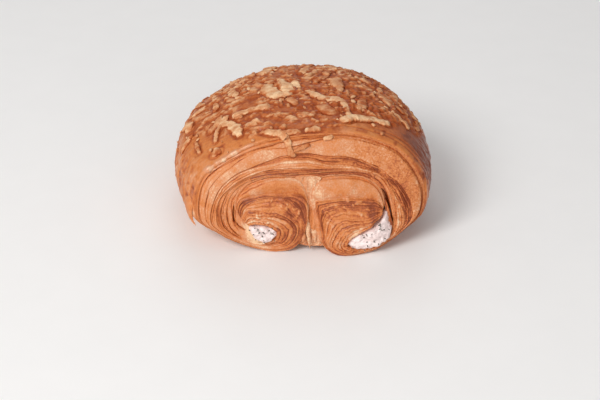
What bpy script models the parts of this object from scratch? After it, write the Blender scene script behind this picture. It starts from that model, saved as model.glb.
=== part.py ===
"""A filled croissant, baked as a double roll with shreds of cheese on its crust.

One sheet of layered dough goes over the top as a dome and curls in under both sides into two
rolls. Each roll closes round a soft filling that runs through it and shows at both ends.
The front end looks along -Y, +X is to the right of it and +Z is up. All lengths are millimetres
until the finished meshes are turned into metres.
"""

import math
import random

import bmesh
import bpy
import numpy as np
from mathutils import Matrix, Vector

METRES_PER_MM = 0.001

# The sheet of dough on the front end, from the middle of the dome round to the end inside a roll:
# outer x, outer z, inner x, inner z.
DOME_TOP = (0.0, 44.0, 0.0, 30.5)
LEFT_SHEET = (
    (-11.0, 43.0, -9.5, 30.0),
    (-21.0, 40.0, -18.0, 29.0),
    (-30.0, 35.0, -24.5, 26.5),
    (-37.5, 29.0, -29.0, 22.0),
    (-41.0, 20.5, -31.0, 15.5),
    (-41.0, 12.0, -30.5, 10.5),
    (-36.5, 6.0, -28.5, 6.5),
    (-30.0, 2.0, -26.0, 4.5),
    (-23.0, 0.0, -21.5, 3.5),
    (-16.0, 0.0, -17.5, 3.5),
    (-10.0, 1.0, -15.0, 5.0),
    (-6.0, 5.0, -14.0, 6.5),
    (-4.0, 11.5, -14.0, 8.5),
    (-3.5, 18.5, -15.0, 10.0),
    (-6.0, 24.5, -16.0, 11.0),
    (-10.5, 27.5, -17.5, 12.0),
    (-16.5, 28.0, -19.0, 12.0),
    (-22.5, 26.5, -21.0, 12.0),
    (-27.0, 22.0, -22.5, 11.0),
    (-29.0, 16.5, -24.0, 9.5),
)
RIGHT_SHEET = (
    (12.0, 44.0, 10.0, 31.0),
    (22.0, 41.5, 19.0, 30.0),
    (31.0, 37.0, 25.5, 27.5),
    (37.5, 29.5, 28.5, 22.0),
    (41.0, 21.5, 30.0, 15.5),
    (40.5, 13.0, 30.0, 10.5),
    (36.0, 6.0, 29.0, 6.0),
    (29.0, 1.5, 26.5, 3.5),
    (22.0, 0.0, 22.0, 2.5),
    (15.0, 0.0, 16.0, 2.5),
    (8.0, 0.5, 13.0, 3.0),
    (2.5, 5.0, 12.0, 4.0),
    (-1.0, 11.5, 12.0, 5.0),
    (-2.0, 19.0, 13.0, 6.5),
    (0.5, 24.5, 14.0, 8.0),
    (6.0, 28.5, 16.0, 9.0),
    (12.5, 29.0, 18.0, 10.5),
    (19.0, 28.0, 21.0, 12.0),
    (24.0, 24.5, 23.5, 13.5),
    (26.5, 19.5, 25.5, 15.5),
)
CURVE_STEPS = 16  # between two of them

# How the loaf runs from the front end to the back end.
FRONT_REACH = 40.0
BACK_REACH = 47.5
END_HEIGHT = 44.0
END_HALF_WIDTH = 41.0
END_LEAN = 8.0  # how far the top of each end leans in
END_BOW = 3.5  # how far the sides of each end fall back
END_SKEW = 0.058  # the front end turns forward to the right
NOSE_REACH = 3.8  # the right roll noses forward at its foot
NOSE_CENTRE = (20.0, 4.0)
NOSE_SPREAD = (18.0, 14.0)
SWELL_X = 0.174
SWELL_Z = 0.042
SWELL_POWER = 1.81
BACK_WIDTH = 0.794
BACK_HEIGHT = 0.82
ROUNDED_PART = 0.12  # share of the length over which each end is rounded off
FRONT_ROUNDING = 0.036
BACK_ROUNDING = 0.085
ORIGIN_X = -0.15  # the middle of the finished croissant
ORIGIN_Y = 2.05

# Relief of an end: place across the sheet (1 is the crust, 0 its inner face) and how far it stands out.
DOME_END = (
    (1.0, -1.3), (0.93, -0.1), (0.74, 0.4), (0.57, 0.2), (0.5, -0.9),
    (0.43, 0.3), (0.33, 0.2), (0.23, -0.8), (0.12, 0.0), (0.0, -1.1),
)
ROLL_END = (
    (1.0, -1.6), (0.9, -0.3), (0.74, 0.2), (0.66, -1.1), (0.57, 1.5),
    (0.46, 0.9), (0.36, 2.3), (0.24, 1.4), (0.12, 2.3), (0.0, 0.8),
)
ROLL_FROM = 86.0  # along the sheet from the dome's middle: where a roll's relief starts
ROLL_FULL = 112.0
BACK_ROWS = (9, 7, 5, 4, 3, 1, 0)  # the back end has fewer of them
SHEET_STEP = 3.0  # along the sheet
LENGTH_ROWS = (0.035, 0.11, 0.26, 0.43, 0.6, 0.77, 0.9, 0.965)
SHEET_NOSE = 2.4  # length over which the sheet's inner edge is rounded off
NOSE_STEPS = 3

# The dough that joins the turns inside, as outlines on the front end, and how deep it starts.
CREASE = (
    (-10.5, 25.4), (-6.5, 31.4), (2.0, 31.8), (5.0, 27.6), (1.6, 23.0), (-0.4, 18.5),
    (0.7, 11.5), (3.8, 6.0), (1.5, 3.2), (-5.0, 3.4), (-7.5, 6.0), (-5.6, 11.5), (-5.2, 18.5), (-7.6, 23.0),
)
CREASE_DEPTH = 3.5
LEFT_LAP = (
    (-32.4, 13.0), (-26.8, 16.0), (-24.0, 11.4), (-24.7, 7.4), (-25.2, 3.0), (-29.5, 4.9), (-32.2, 9.0),
)
LAP_DEPTH = 3.0
LEFT_TOP_SEAM = ((-6.0, 28.9), (-11.0, 28.9), (-17.0, 28.6), (-20.5, 27.7))
LEFT_SIDE_SEAM = ((-19.5, 28.1), (-23.8, 26.6), (-28.0, 22.0), (-30.0, 15.5), (-30.0, 13.0))
RIGHT_TOP_SEAM = ((1.0, 29.4), (6.0, 29.9), (11.5, 30.1), (18.5, 29.2), (21.0, 28.2))
RIGHT_SIDE_SEAM = ((20.0, 28.7), (25.1, 26.2), (27.6, 21.6), (28.0, 20.6))
SEAM_HALF_WIDTH = 2.3
TOP_SEAM_DEPTH = 2.2
SIDE_SEAM_DEPTH = 7.0

# The fillings, on the front end.
LEFT_FILLING_CENTRE = (-19.2, 7.7)
LEFT_FILLING_HALF_SIZES = (4.4, 3.7)
LEFT_FILLING_POINTS = 20
RIGHT_FILLING = (
    (13.5, 4.6), (15.0, 3.6), (17.5, 3.2), (22.0, 3.1), (25.8, 4.1), (28.1, 6.6), (29.0, 10.5),
    (28.9, 14.8), (28.1, 17.6), (27.2, 17.2), (26.4, 14.8), (24.3, 12.9), (21.7, 11.3), (18.8, 9.8),
    (16.5, 8.3), (14.5, 7.1), (13.5, 5.8),
)
FILLING_SET_BACK = 0.9
FILLING_END_SIZE = 0.92  # its ends are rounded off

# Cheese: places on the crust as (distance along the sheet from the dome's middle, y), and width.
# A place in front of the crust's front edge lies on the end below it.
CHEESE = (
    (((-23.2, -6.3), (-17.2, -7.1), (-10.6, -7.6)), 3.0),
    (((-27.0, -7.6), (-28.8, -10.5), (-27.0, -15.0)), 4.0),
    (((-27.0, -16.5), (-23.5, -18.5), (-23.2, -22.0)), 4.4),
    (((-12.9, 4.0), (-9.3, 6.1), (-5.6, 7.5)), 6.0),
    (((-5.6, 8.0), (-1.5, 12.4)), 6.5),
    (((-10.2, -0.5), (-6.1, 1.2)), 5.0),
    (((-16.4, -24.8), (-12.5, -25.8), (-9.6, -27.5)), 2.8),
    (((-10.2, -27.0), (-8.6, -30.4), (-8.0, -33.4), (-7.0, -38.0)), 2.8),
    (((9.6, -22.0), (12.9, -22.6), (16.4, -20.6), (21.5, -21.0), (27.9, -19.9)), 3.4),
    (((4.5, -3.4), (8.1, -6.3), (12.5, -5.2)), 3.4),
    (((12.5, -5.2), (12.9, -11.8), (13.4, -17.0)), 3.0),
    (((5.0, -11.8), (9.6, -15.7)), 5.6),
    (((-25.0, 11.5), (-21.9, 13.3)), 4.0),
    (((30.0, -9.5), (33.7, -10.4), (38.3, -9.7)), 2.8),
    (((29.0, 10.8), (32.5, 1.0)), 3.0),
    (((-39.2, -10.5), (-38.4, -17.8)), 3.0),
    (((-34.2, -25.0), (-31.3, -24.5)), 2.6),
    (((-38.4, -29.6), (-35.8, -28.4)), 2.4),
    (((-8.8, -5.1), (-7.0, -10.8)), 2.8),
    (((-2.4, -5.7), (-1.9, -10.0)), 2.6),
    (((-1.4, -26.2), (3.5, -28.0)), 3.0),
    (((-3.8, -16.8), (1.5, -18.6)), 2.8),
    (((-18.5, -0.2), (-15.5, -5.0)), 2.6),
    (((25.3, 0.6), (30.0, -1.1)), 2.8),
    (((2.0, 28.2), (5.5, 23.5)), 5.0),
    (((-12.4, 24.8), (-7.5, 35.6)), 5.6),
    (((15.1, -6.6), (18.1, -10.5)), 2.8),
    (((19.0, 2.1), (23.1, 1.0)), 2.8),
    (((10.1, 9.9), (13.8, 1.4)), 2.6),
)
CHEESE_SEED = 7
SCATTERED_SHREDS = 30
SCATTER_HALF_WIDTH = 47.0
SCATTER_Y = (-24.0, 34.0)
SCATTER_LENGTH = (5.0, 10.0)
SCATTER_THICKNESS = (2.4, 3.6)
SCATTER_CLEARANCE = 7.0
SHRED_SIDES = 5
SHRED_HEIGHT = 0.62  # of its width
SHRED_TALLEST = 2.4
SHRED_SINK = 0.25  # of its height
SHRED_SWELL = (0.85, 1.1)  # from one ring of it to the next
SHRED_END = 0.45  # size of its end rings
CHEESE_STOP = 0.97  # share of the loaf's length that the cheese keeps to
SLOPE_STEP = 0.6  # between the places that give the slope of the crust

# Loose crust at the edges: root and tip on the front end with y, root width, thickness.
FLAKES = (
    ((-40.0, -30.5, 15.0), (-42.6, -31.5, 5.2), 8.0, 1.6),
    ((-1.6, -35.6, 6.5), (-0.8, -38.0, 0.5), 3.0, 1.4),
    ((-4.4, -35.4, 7.0), (-4.0, -37.6, 1.4), 2.4, 1.2),
    ((38.0, -31.0, 11.0), (38.4, -32.6, 3.2), 7.0, 1.6),
    ((-33.5, 38.8, 8.0), (-35.4, 40.4, 1.6), 7.0, 1.6),
    ((30.0, 39.3, 7.0), (31.4, 41.2, 1.4), 6.0, 1.6),
)
FLAKE_SIDES = 8
FLAKE_ROOT = 0.5  # half of its width
FLAKE_TIP = 0.06

MERGE_DISTANCE = 1e-4
SHARP_ANGLE = 50.0

PASTRY_COLOUR = (0.72, 0.36, 0.14)
PASTRY_ROUGHNESS = 0.45
FILLING_COLOUR = (0.86, 0.80, 0.84)
FILLING_ROUGHNESS = 0.6


def clear_scene():
    for obj in list(bpy.data.objects):
        bpy.data.objects.remove(obj)


def smooth_step(low, high, value):
    share = np.clip((value - low) / (high - low), 0.0, 1.0)
    return share * share * (3.0 - 2.0 * share)


def curve_through(points, steps):
    """A smooth curve through the points, with this many steps between two of them."""
    points = np.asarray(points, float)
    ends = np.vstack([2 * points[0] - points[1], points, 2 * points[-1] - points[-2]])
    share = np.arange(steps)[:, None] / steps
    pieces = []
    for before, start, end, after in zip(ends, ends[1:], ends[2:], ends[3:]):
        linear = end - before
        square = 2 * before - 5 * start + 4 * end - after
        cube = 3 * start - before - 3 * end + after
        pieces.append(start + 0.5 * (linear * share + square * share**2 + cube * share**3))
    return np.vstack(pieces + [points[-1:]])


def sheet_curve():
    """The sheet on the front end, left roll to right roll, and the distance along its crust."""
    stations = LEFT_SHEET[::-1] + (DOME_TOP,) + RIGHT_SHEET
    curve = curve_through(stations, CURVE_STEPS)
    curve[:, 1] = np.maximum(curve[:, 1], 0.0)
    along = np.concatenate([[0.0], np.cumsum(np.hypot(*np.diff(curve[:, :2], axis=0).T))])
    return along - along[len(LEFT_SHEET) * CURVE_STEPS], curve


ALONG, CURVE = sheet_curve()


def sheet(along, across):
    """x and z of a point of the sheet on the front end."""
    outer_x, outer_z, inner_x, inner_z = (np.interp(along, ALONG, column) for column in CURVE.T)
    return inner_x + (outer_x - inner_x) * across, inner_z + (outer_z - inner_z) * across


def front_y(x, z):
    from_nose = ((x - NOSE_CENTRE[0]) / NOSE_SPREAD[0]) ** 2 + ((z - NOSE_CENTRE[1]) / NOSE_SPREAD[1]) ** 2
    lean = END_LEAN * (z / END_HEIGHT) ** 2 + END_BOW * (x / END_HALF_WIDTH) ** 2
    return -FRONT_REACH + lean - END_SKEW * x - NOSE_REACH * np.exp(-from_nose)


def back_y(x, z):
    return BACK_REACH - END_LEAN * (z / END_HEIGHT) ** 2 - END_BOW * (x / END_HALF_WIDTH) ** 2


def loaf(x, z, length_share, stands_out=0.0):
    """The point of the loaf for a place on the front end, a share of the length and some relief."""
    start = front_y(x, z)
    y = start + (back_y(x, z) - start) * length_share
    rise = 1.0 - np.clip(np.where(y < 0, -y / FRONT_REACH, y / BACK_REACH), 0.0, 1.0) ** SWELL_POWER
    wide = np.where(y < 0, 1.0 + SWELL_X * rise, BACK_WIDTH + (1.0 + SWELL_X - BACK_WIDTH) * rise)
    high = np.where(y < 0, 1.0 + SWELL_Z * rise, BACK_HEIGHT + (1.0 + SWELL_Z - BACK_HEIGHT) * rise)
    to_end = np.clip(np.minimum(length_share, 1.0 - length_share) / ROUNDED_PART, 0.0, 1.0)
    fall = 1.0 - np.sqrt(1.0 - (1.0 - to_end) ** 2)
    keep = 1.0 - fall * np.where(length_share < 0.5, FRONT_ROUNDING, BACK_ROUNDING)
    y = y + np.where(length_share < 0.5, -stands_out, stands_out)
    return np.stack(np.broadcast_arrays(x * wide * keep - ORIGIN_X, y - ORIGIN_Y, z * high * keep), axis=-1)


def end_relief(along):
    """Places across the sheet, and how far the end stands out there, from the two relief tables."""
    roll = smooth_step(ROLL_FROM, ROLL_FULL, np.abs(along))
    return (1.0 - roll) * np.array(DOME_END) + roll * np.array(ROLL_END)


def sheet_loop():
    """The closed way round one slice of the sheet: across the front, back, across and forward."""
    loop = [("front", row) for row in range(len(DOME_END))]
    loop += [("inner", share) for share in LENGTH_ROWS]
    loop += [("back", row) for row in BACK_ROWS]
    loop += [("crust", share) for share in reversed(LENGTH_ROWS)]
    return loop + loop[:1]


def sheet_stations():
    """Places along the sheet and how much of its thickness is left there."""
    count = round((ALONG[-1] - ALONG[0] - 2 * SHEET_NOSE) / SHEET_STEP)
    middle = np.linspace(ALONG[0] + SHEET_NOSE, ALONG[-1] - SHEET_NOSE, count + 1)
    turns = [math.radians(90.0 * step / NOSE_STEPS) for step in range(NOSE_STEPS, 0, -1)]
    nose = [(SHEET_NOSE * (1.0 - math.sin(turn)), math.cos(turn)) for turn in turns]
    left = [(ALONG[0] + reach, thick) for reach, thick in nose]
    right = [(ALONG[-1] - reach, thick) for reach, thick in reversed(nose)]
    return left + [(along, 1.0) for along in middle] + right


def sheet_point(along, thick, place):
    kind, value = place
    if kind in ("front", "back"):
        across, stands_out = end_relief(along)[value]
        length_share = 0.0 if kind == "front" else 1.0
    else:
        across = 0.0 if kind == "inner" else 1.0
        stands_out = 0.0
        length_share = value
    across = 0.5 + (across - 0.5) * thick
    x, z = sheet(along, across)
    return loaf(x, z, length_share, stands_out * thick)


def mesh_object(name, shape):
    mesh = bpy.data.meshes.new(name)
    shape.to_mesh(mesh)
    shape.free()
    obj = bpy.data.objects.new(name, mesh)
    bpy.context.scene.collection.objects.link(obj)
    return obj


def closed_grid(name, columns, rows, place):
    """A grid of points from place(column, row), closed where its edges meet."""
    shape = bmesh.new()
    points = [[shape.verts.new(place(column, row)) for row in range(rows)] for column in range(columns)]
    for column, following in zip(points, points[1:]):
        for row in range(rows - 1):
            shape.faces.new((column[row], column[row + 1], following[row + 1], following[row]))
    bmesh.ops.remove_doubles(shape, verts=shape.verts, dist=MERGE_DISTANCE)
    bmesh.ops.holes_fill(shape, edges=shape.edges, sides=0)
    bmesh.ops.recalc_face_normals(shape, faces=shape.faces)
    return mesh_object(name, shape)


def dough_sheet():
    stations = sheet_stations()
    loop = sheet_loop()
    return closed_grid(
        "pastry", len(stations), len(loop), lambda column, row: sheet_point(*stations[column], loop[row])
    )


def bar_through(name, outline, depth, set_back=0.0, end_size=1.0):
    """A bar of this outline that runs through the loaf and starts this deep in at both ends."""
    start = depth / (FRONT_REACH + BACK_REACH)
    inside = [share for share in LENGTH_ROWS if start < share < 1.0 - start]
    around = np.array(list(outline) + [outline[0]])
    middle = np.mean(outline, axis=0)
    at_end = middle + (around - middle) * end_size
    rows = [(at_end, start, -set_back)] + [(around, share, 0.0) for share in inside]
    rows.append((at_end, 1.0 - start, -set_back))

    def place(column, row):
        points, length_share, stands_out = rows[column]
        return loaf(*points[row], length_share, stands_out)

    return closed_grid(name, len(rows), len(around), place)


def strip_outline(line, half_width):
    """The outline of a strip along a line."""
    points = [Vector(point) for point in line]
    left, right = [], []
    for index, point in enumerate(points):
        before = points[max(index - 1, 0)]
        after = points[min(index + 1, len(points) - 1)]
        along = (after - before).normalized()
        side = Vector((-along.y, along.x)) * half_width
        left.append(tuple(point + side))
        right.append(tuple(point - side))
    return left + right[::-1]


def inner_dough():
    """The dough that joins the sheet's turns, so that the croissant is one piece."""
    seams = (
        ("left_top", LEFT_TOP_SEAM, TOP_SEAM_DEPTH),
        ("left_side", LEFT_SIDE_SEAM, SIDE_SEAM_DEPTH),
        ("right_top", RIGHT_TOP_SEAM, TOP_SEAM_DEPTH),
        ("right_side", RIGHT_SIDE_SEAM, SIDE_SEAM_DEPTH),
    )
    bars = [bar_through("crease", CREASE, CREASE_DEPTH), bar_through("lap", LEFT_LAP, LAP_DEPTH)]
    for name, line, depth in seams:
        bars.append(bar_through(name, strip_outline(line, SEAM_HALF_WIDTH), depth))
    return bars


def crust_point(along, y):
    """A point of the crust, or of the end below its front edge."""
    x, z = sheet(along, 1.0)
    start = float(front_y(x, z))
    if y < start:
        inner = np.array(sheet(along, 0.0))
        across = 1.0 - (start - y) / math.dist(inner, (x, z))
        places, stands_out = end_relief(along)[::-1].T
        x, z = sheet(along, across)
        return Vector(loaf(x, z, 0.0, np.interp(across, places, stands_out)))
    share = (y - start) / (float(back_y(x, z)) - start)
    return Vector(loaf(x, z, min(share, CHEESE_STOP)))


def crust_normal(along, y):
    across = crust_point(along + SLOPE_STEP, y) - crust_point(along - SLOPE_STEP, y)
    lengthways = crust_point(along, y + SLOPE_STEP) - crust_point(along, y - SLOPE_STEP)
    return across.cross(lengthways).normalized()


def cheese_shred(name, path, width, chance):
    """A flat-bottomed shred, sunk a little into the crust, with a smaller ring at each end."""
    centres = [crust_point(*place) for place in path]
    normals = [crust_normal(*place) for place in path]
    half_width = width / 2
    height = min(width * SHRED_HEIGHT, SHRED_TALLEST)
    rings = []
    for index, (centre, normal) in enumerate(zip(centres, normals)):
        before = centres[max(index - 1, 0)]
        after = centres[min(index + 1, len(centres) - 1)]
        along = (after - before).normalized()
        side = along.cross(normal).normalized()
        swell = chance.uniform(*SHRED_SWELL)
        if index == 0:
            rings.append((centre - along * half_width, side, normal, swell * SHRED_END))
        rings.append((centre, side, normal, swell))
        if index == len(centres) - 1:
            rings.append((centre + along * half_width, side, normal, swell * SHRED_END))

    def place(column, row):
        centre, side, normal, swell = rings[column]
        turn = 2 * math.pi * (row % SHRED_SIDES) / SHRED_SIDES
        level = (math.sin(turn) + 1.0) / 2 - SHRED_SINK
        return centre + side * math.cos(turn) * half_width * swell + normal * level * height * swell

    return closed_grid(name, len(rings), SHRED_SIDES + 1, place)


def scattered_paths(chance):
    """Paths and widths for the smaller shreds, spread evenly between the large ones."""
    taken = [np.mean(path, axis=0) for path, _ in CHEESE]
    found = []
    while len(found) < SCATTERED_SHREDS:
        along = chance.uniform(-SCATTER_HALF_WIDTH, SCATTER_HALF_WIDTH)
        middle = np.array((along, chance.uniform(*SCATTER_Y)))
        if min(np.hypot(*(middle - other)) for other in taken) < SCATTER_CLEARANCE:
            continue
        turn = chance.uniform(0.0, math.pi)
        half = np.array((math.cos(turn), math.sin(turn))) * chance.uniform(*SCATTER_LENGTH) / 2
        taken.append(middle)
        found.append(((tuple(middle - half), tuple(middle + half)), chance.uniform(*SCATTER_THICKNESS)))
    return found


def cheese():
    chance = random.Random(CHEESE_SEED)
    shreds = list(CHEESE) + scattered_paths(chance)
    return [cheese_shred(f"shred_{index}", path, width, chance) for index, (path, width) in enumerate(shreds)]


def crust_flakes():
    """Loose points of crust: each a thin wedge from its root to its tip."""
    flakes = []
    for index, (root, tip, width, thickness) in enumerate(FLAKES):
        shape = bmesh.new()
        bmesh.ops.create_cone(
            shape, cap_ends=True, segments=FLAKE_SIDES, radius1=FLAKE_ROOT, radius2=FLAKE_TIP, depth=1.0,
            matrix=Matrix.Translation((0.0, 0.0, 0.5)),
        )
        start, end = Vector(root), Vector(tip)
        upright = (start - end).normalized().to_track_quat("-Z", "Y").to_matrix().to_4x4()
        size = Matrix.Diagonal((thickness, width, (end - start).length, 1.0))
        move = Matrix.Translation(start - Vector((ORIGIN_X, ORIGIN_Y, 0.0)))
        bmesh.ops.transform(shape, matrix=move @ upright @ size, verts=shape.verts)
        flakes.append(mesh_object(f"flake_{index}", shape))
    return flakes


def join_to(body, others):
    """One Boolean union of the body with the others, which are removed afterwards."""
    group = bpy.data.collections.new("to_join")
    for other in others:
        bpy.context.scene.collection.objects.unlink(other)
        group.objects.link(other)
    bpy.context.scene.collection.children.link(group)
    union = body.modifiers.new("union", "BOOLEAN")
    union.operation = "UNION"
    union.operand_type = "COLLECTION"
    union.collection = group
    bpy.context.view_layer.update()
    evaluated = body.evaluated_get(bpy.context.evaluated_depsgraph_get())
    joined = bpy.data.meshes.new_from_object(evaluated)
    body.modifiers.clear()
    body.data = joined
    for other in others:
        bpy.data.objects.remove(other)
    bpy.data.collections.remove(group)


def finish(obj, name, colour, roughness):
    """Turns a finished piece into metres, shades it smooth and gives it its material."""
    obj.name = name
    obj.data.name = name
    obj.data.transform(Matrix.Scale(METRES_PER_MM, 4))
    obj.data.shade_smooth()
    obj.data.set_sharp_from_angle(angle=math.radians(SHARP_ANGLE))
    material = bpy.data.materials.new(name)
    material.use_nodes = True
    surface = material.node_tree.nodes["Principled BSDF"]
    surface.inputs["Base Color"].default_value = (*colour, 1.0)
    surface.inputs["Roughness"].default_value = roughness
    surface.inputs["Metallic"].default_value = 0.0
    obj.data.materials.clear()
    obj.data.materials.append(material)


def pastry():
    body = dough_sheet()
    join_to(body, inner_dough() + cheese() + crust_flakes())
    finish(body, "pastry", PASTRY_COLOUR, PASTRY_ROUGHNESS)


def fillings():
    turns = [2 * math.pi * index / LEFT_FILLING_POINTS for index in range(LEFT_FILLING_POINTS)]
    (x, z), (half_x, half_z) = LEFT_FILLING_CENTRE, LEFT_FILLING_HALF_SIZES
    left = [(x + half_x * math.cos(turn), z + half_z * math.sin(turn)) for turn in turns]
    for name, outline in (("filling_left", left), ("filling_right", RIGHT_FILLING)):
        rod = bar_through(name, outline, 0.0, FILLING_SET_BACK, FILLING_END_SIZE)
        finish(rod, name, FILLING_COLOUR, FILLING_ROUGHNESS)


clear_scene()
pastry()
fillings()
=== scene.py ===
"""The looks of a filled croissant baked as a double roll, with cheese melted over its crust.

One sheet of layered dough goes over the top as a dome and curls in under both sides into two rolls.
A browned skin with baked cheese covers it, and each roll closes round a herb cream. The front end
looks along -Y. The tables are in millimetres, with x and z measured on the front end before the loaf
swells towards its middle. Finished meshes are in metres.
"""

import itertools
import math
import random
from collections import namedtuple

import bmesh
import bpy
import numpy as np
from mathutils import Matrix, Vector


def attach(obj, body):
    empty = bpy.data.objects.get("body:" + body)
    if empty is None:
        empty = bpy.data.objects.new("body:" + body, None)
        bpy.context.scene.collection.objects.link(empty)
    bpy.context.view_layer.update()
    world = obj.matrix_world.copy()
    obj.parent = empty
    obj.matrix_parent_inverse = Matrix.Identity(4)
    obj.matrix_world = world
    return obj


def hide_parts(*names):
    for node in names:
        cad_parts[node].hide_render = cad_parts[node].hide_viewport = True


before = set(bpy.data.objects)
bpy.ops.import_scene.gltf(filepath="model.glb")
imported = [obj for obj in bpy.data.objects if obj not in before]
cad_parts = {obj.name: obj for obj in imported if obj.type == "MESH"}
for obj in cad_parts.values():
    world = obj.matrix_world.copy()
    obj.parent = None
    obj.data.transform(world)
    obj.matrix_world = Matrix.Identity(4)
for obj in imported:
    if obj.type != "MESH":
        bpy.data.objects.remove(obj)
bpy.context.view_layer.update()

bl_info = {
    "name": "Filled Croissant",
    "version": (1, 0, 0),
    "blender": (4, 5, 0),
    "location": "View3D > Sidebar > Croissant",
    "description": "Layered dough, cheese crust and herb cream for the croissant's solid model",
    "category": "Object",
}

METRES_PER_MM = 0.001
TO_METRES = Matrix.Scale(METRES_PER_MM, 4)
BODY = "root"
MERGE_DISTANCE = 2e-6
NO_LENGTH = 1e-7
NOISE_SIDES = (4096, 128, 32)  # random values each way, over a line, a surface and a space

# ---------------------------------------------------------------- the form, near the solid model's
# The sheet of dough on the front end, from the middle of the dome round to the end inside a roll:
# outer x, outer z, inner x, inner z.
DOME_TOP = (0.0, 44.0, 0.0, 30.5)
LEFT_SHEET = (
    (-11.0, 43.0, -9.5, 30.0), (-21.0, 40.0, -18.0, 29.0), (-30.0, 35.0, -24.5, 26.5),
    (-37.5, 29.0, -29.0, 22.0), (-41.0, 20.5, -31.0, 15.5), (-41.0, 12.0, -30.5, 10.5),
    (-35.6, 7.8, -28.6, 7.2), (-29.4, 3.9, -26.0, 5.5), (-22.8, 1.3, -21.5, 3.8),
    (-15.5, 0.0, -17.5, 3.4), (-8.5, 0.9, -14.8, 4.8), (-4.4, 4.8, -13.9, 6.6),
    (-2.2, 11.2, -13.7, 8.5), (-1.3, 18.0, -14.6, 10.0), (-2.0, 24.4, -16.0, 11.0),
    (-5.0, 28.9, -17.3, 11.9), (-14.4, 29.3, -19.0, 12.1), (-22.0, 26.9, -21.0, 12.2),
    (-26.6, 22.2, -22.6, 12.0), (-28.0, 16.5, -24.2, 11.0),
)
RIGHT_SHEET = (
    (12.0, 44.0, 10.0, 31.0), (22.0, 41.5, 19.0, 30.0), (31.0, 37.0, 25.5, 27.5),
    (37.5, 29.5, 28.5, 22.0), (41.0, 21.5, 30.0, 15.5), (40.5, 13.0, 30.0, 10.5),
    (35.3, 8.5, 29.3, 7.2), (28.9, 4.5, 27.0, 5.6), (22.4, 1.2, 22.2, 2.9),
    (14.8, 0.0, 16.0, 2.6), (7.6, 0.2, 13.2, 3.0), (2.9, 3.6, 12.4, 4.0),
    (1.7, 11.0, 12.2, 5.0), (0.2, 18.3, 12.9, 6.4), (-0.7, 24.4, 14.0, 7.6),
    (2.8, 28.7, 15.8, 8.8), (11.6, 29.4, 18.0, 10.2), (19.0, 27.9, 21.0, 11.4),
    (23.8, 24.3, 23.6, 13.6), (26.6, 18.6, 25.6, 15.4),
)
CURVE_STEPS = 16

# The ends: how far they lie from the middle, and how much they lean back at the top, bow back at the
# sides and run askew. The front end also bulges: x, z, reach in x and in z, how far.
FRONT_REACH = 40.0
BACK_REACH = 47.5
END_HEIGHT = 44.0
END_HALF_WIDTH = 41.0
END_LEAN = 8.0
END_BOW = 3.5
END_SKEW = 0.058
FRONT_NOSE = (20.0, 4.0, 18.0, 14.0, 3.8)
# The loaf swells towards its middle and is narrower and lower at the back. Both ends are rounded off.
SWELL_X = 0.174
SWELL_Z = 0.042
SWELL_POWER = 1.81
BACK_WIDTH = 0.794
BACK_HEIGHT = 0.82
ROUNDED_PART = 0.12  # of the length
FRONT_ROUNDING = 0.036
BACK_ROUNDING = 0.085
ORIGIN_X = -0.15
ORIGIN_Y = 2.05

# Relief of an end: place across the sheet (1 is the crust, 0 its inner face) and how far it stands out.
DOME_END = (
    (1.0, -1.3), (0.93, -0.1), (0.74, 0.4), (0.57, 0.2), (0.5, -0.9),
    (0.43, 0.3), (0.33, 0.2), (0.23, -0.8), (0.12, 0.0), (0.0, -1.1),
)
ROLL_END = (
    (1.0, -1.6), (0.9, -0.3), (0.74, 0.2), (0.66, -1.1), (0.57, 1.5),
    (0.46, 0.9), (0.36, 2.3), (0.24, 1.4), (0.12, 2.3), (0.0, 0.8),
)
# The rolls begin and are fully there at these distances along the sheet, whose ends are round.
ROLL_FROM = 86.0
ROLL_FULL = 112.0
SHEET_NOSE = 2.4

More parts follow.
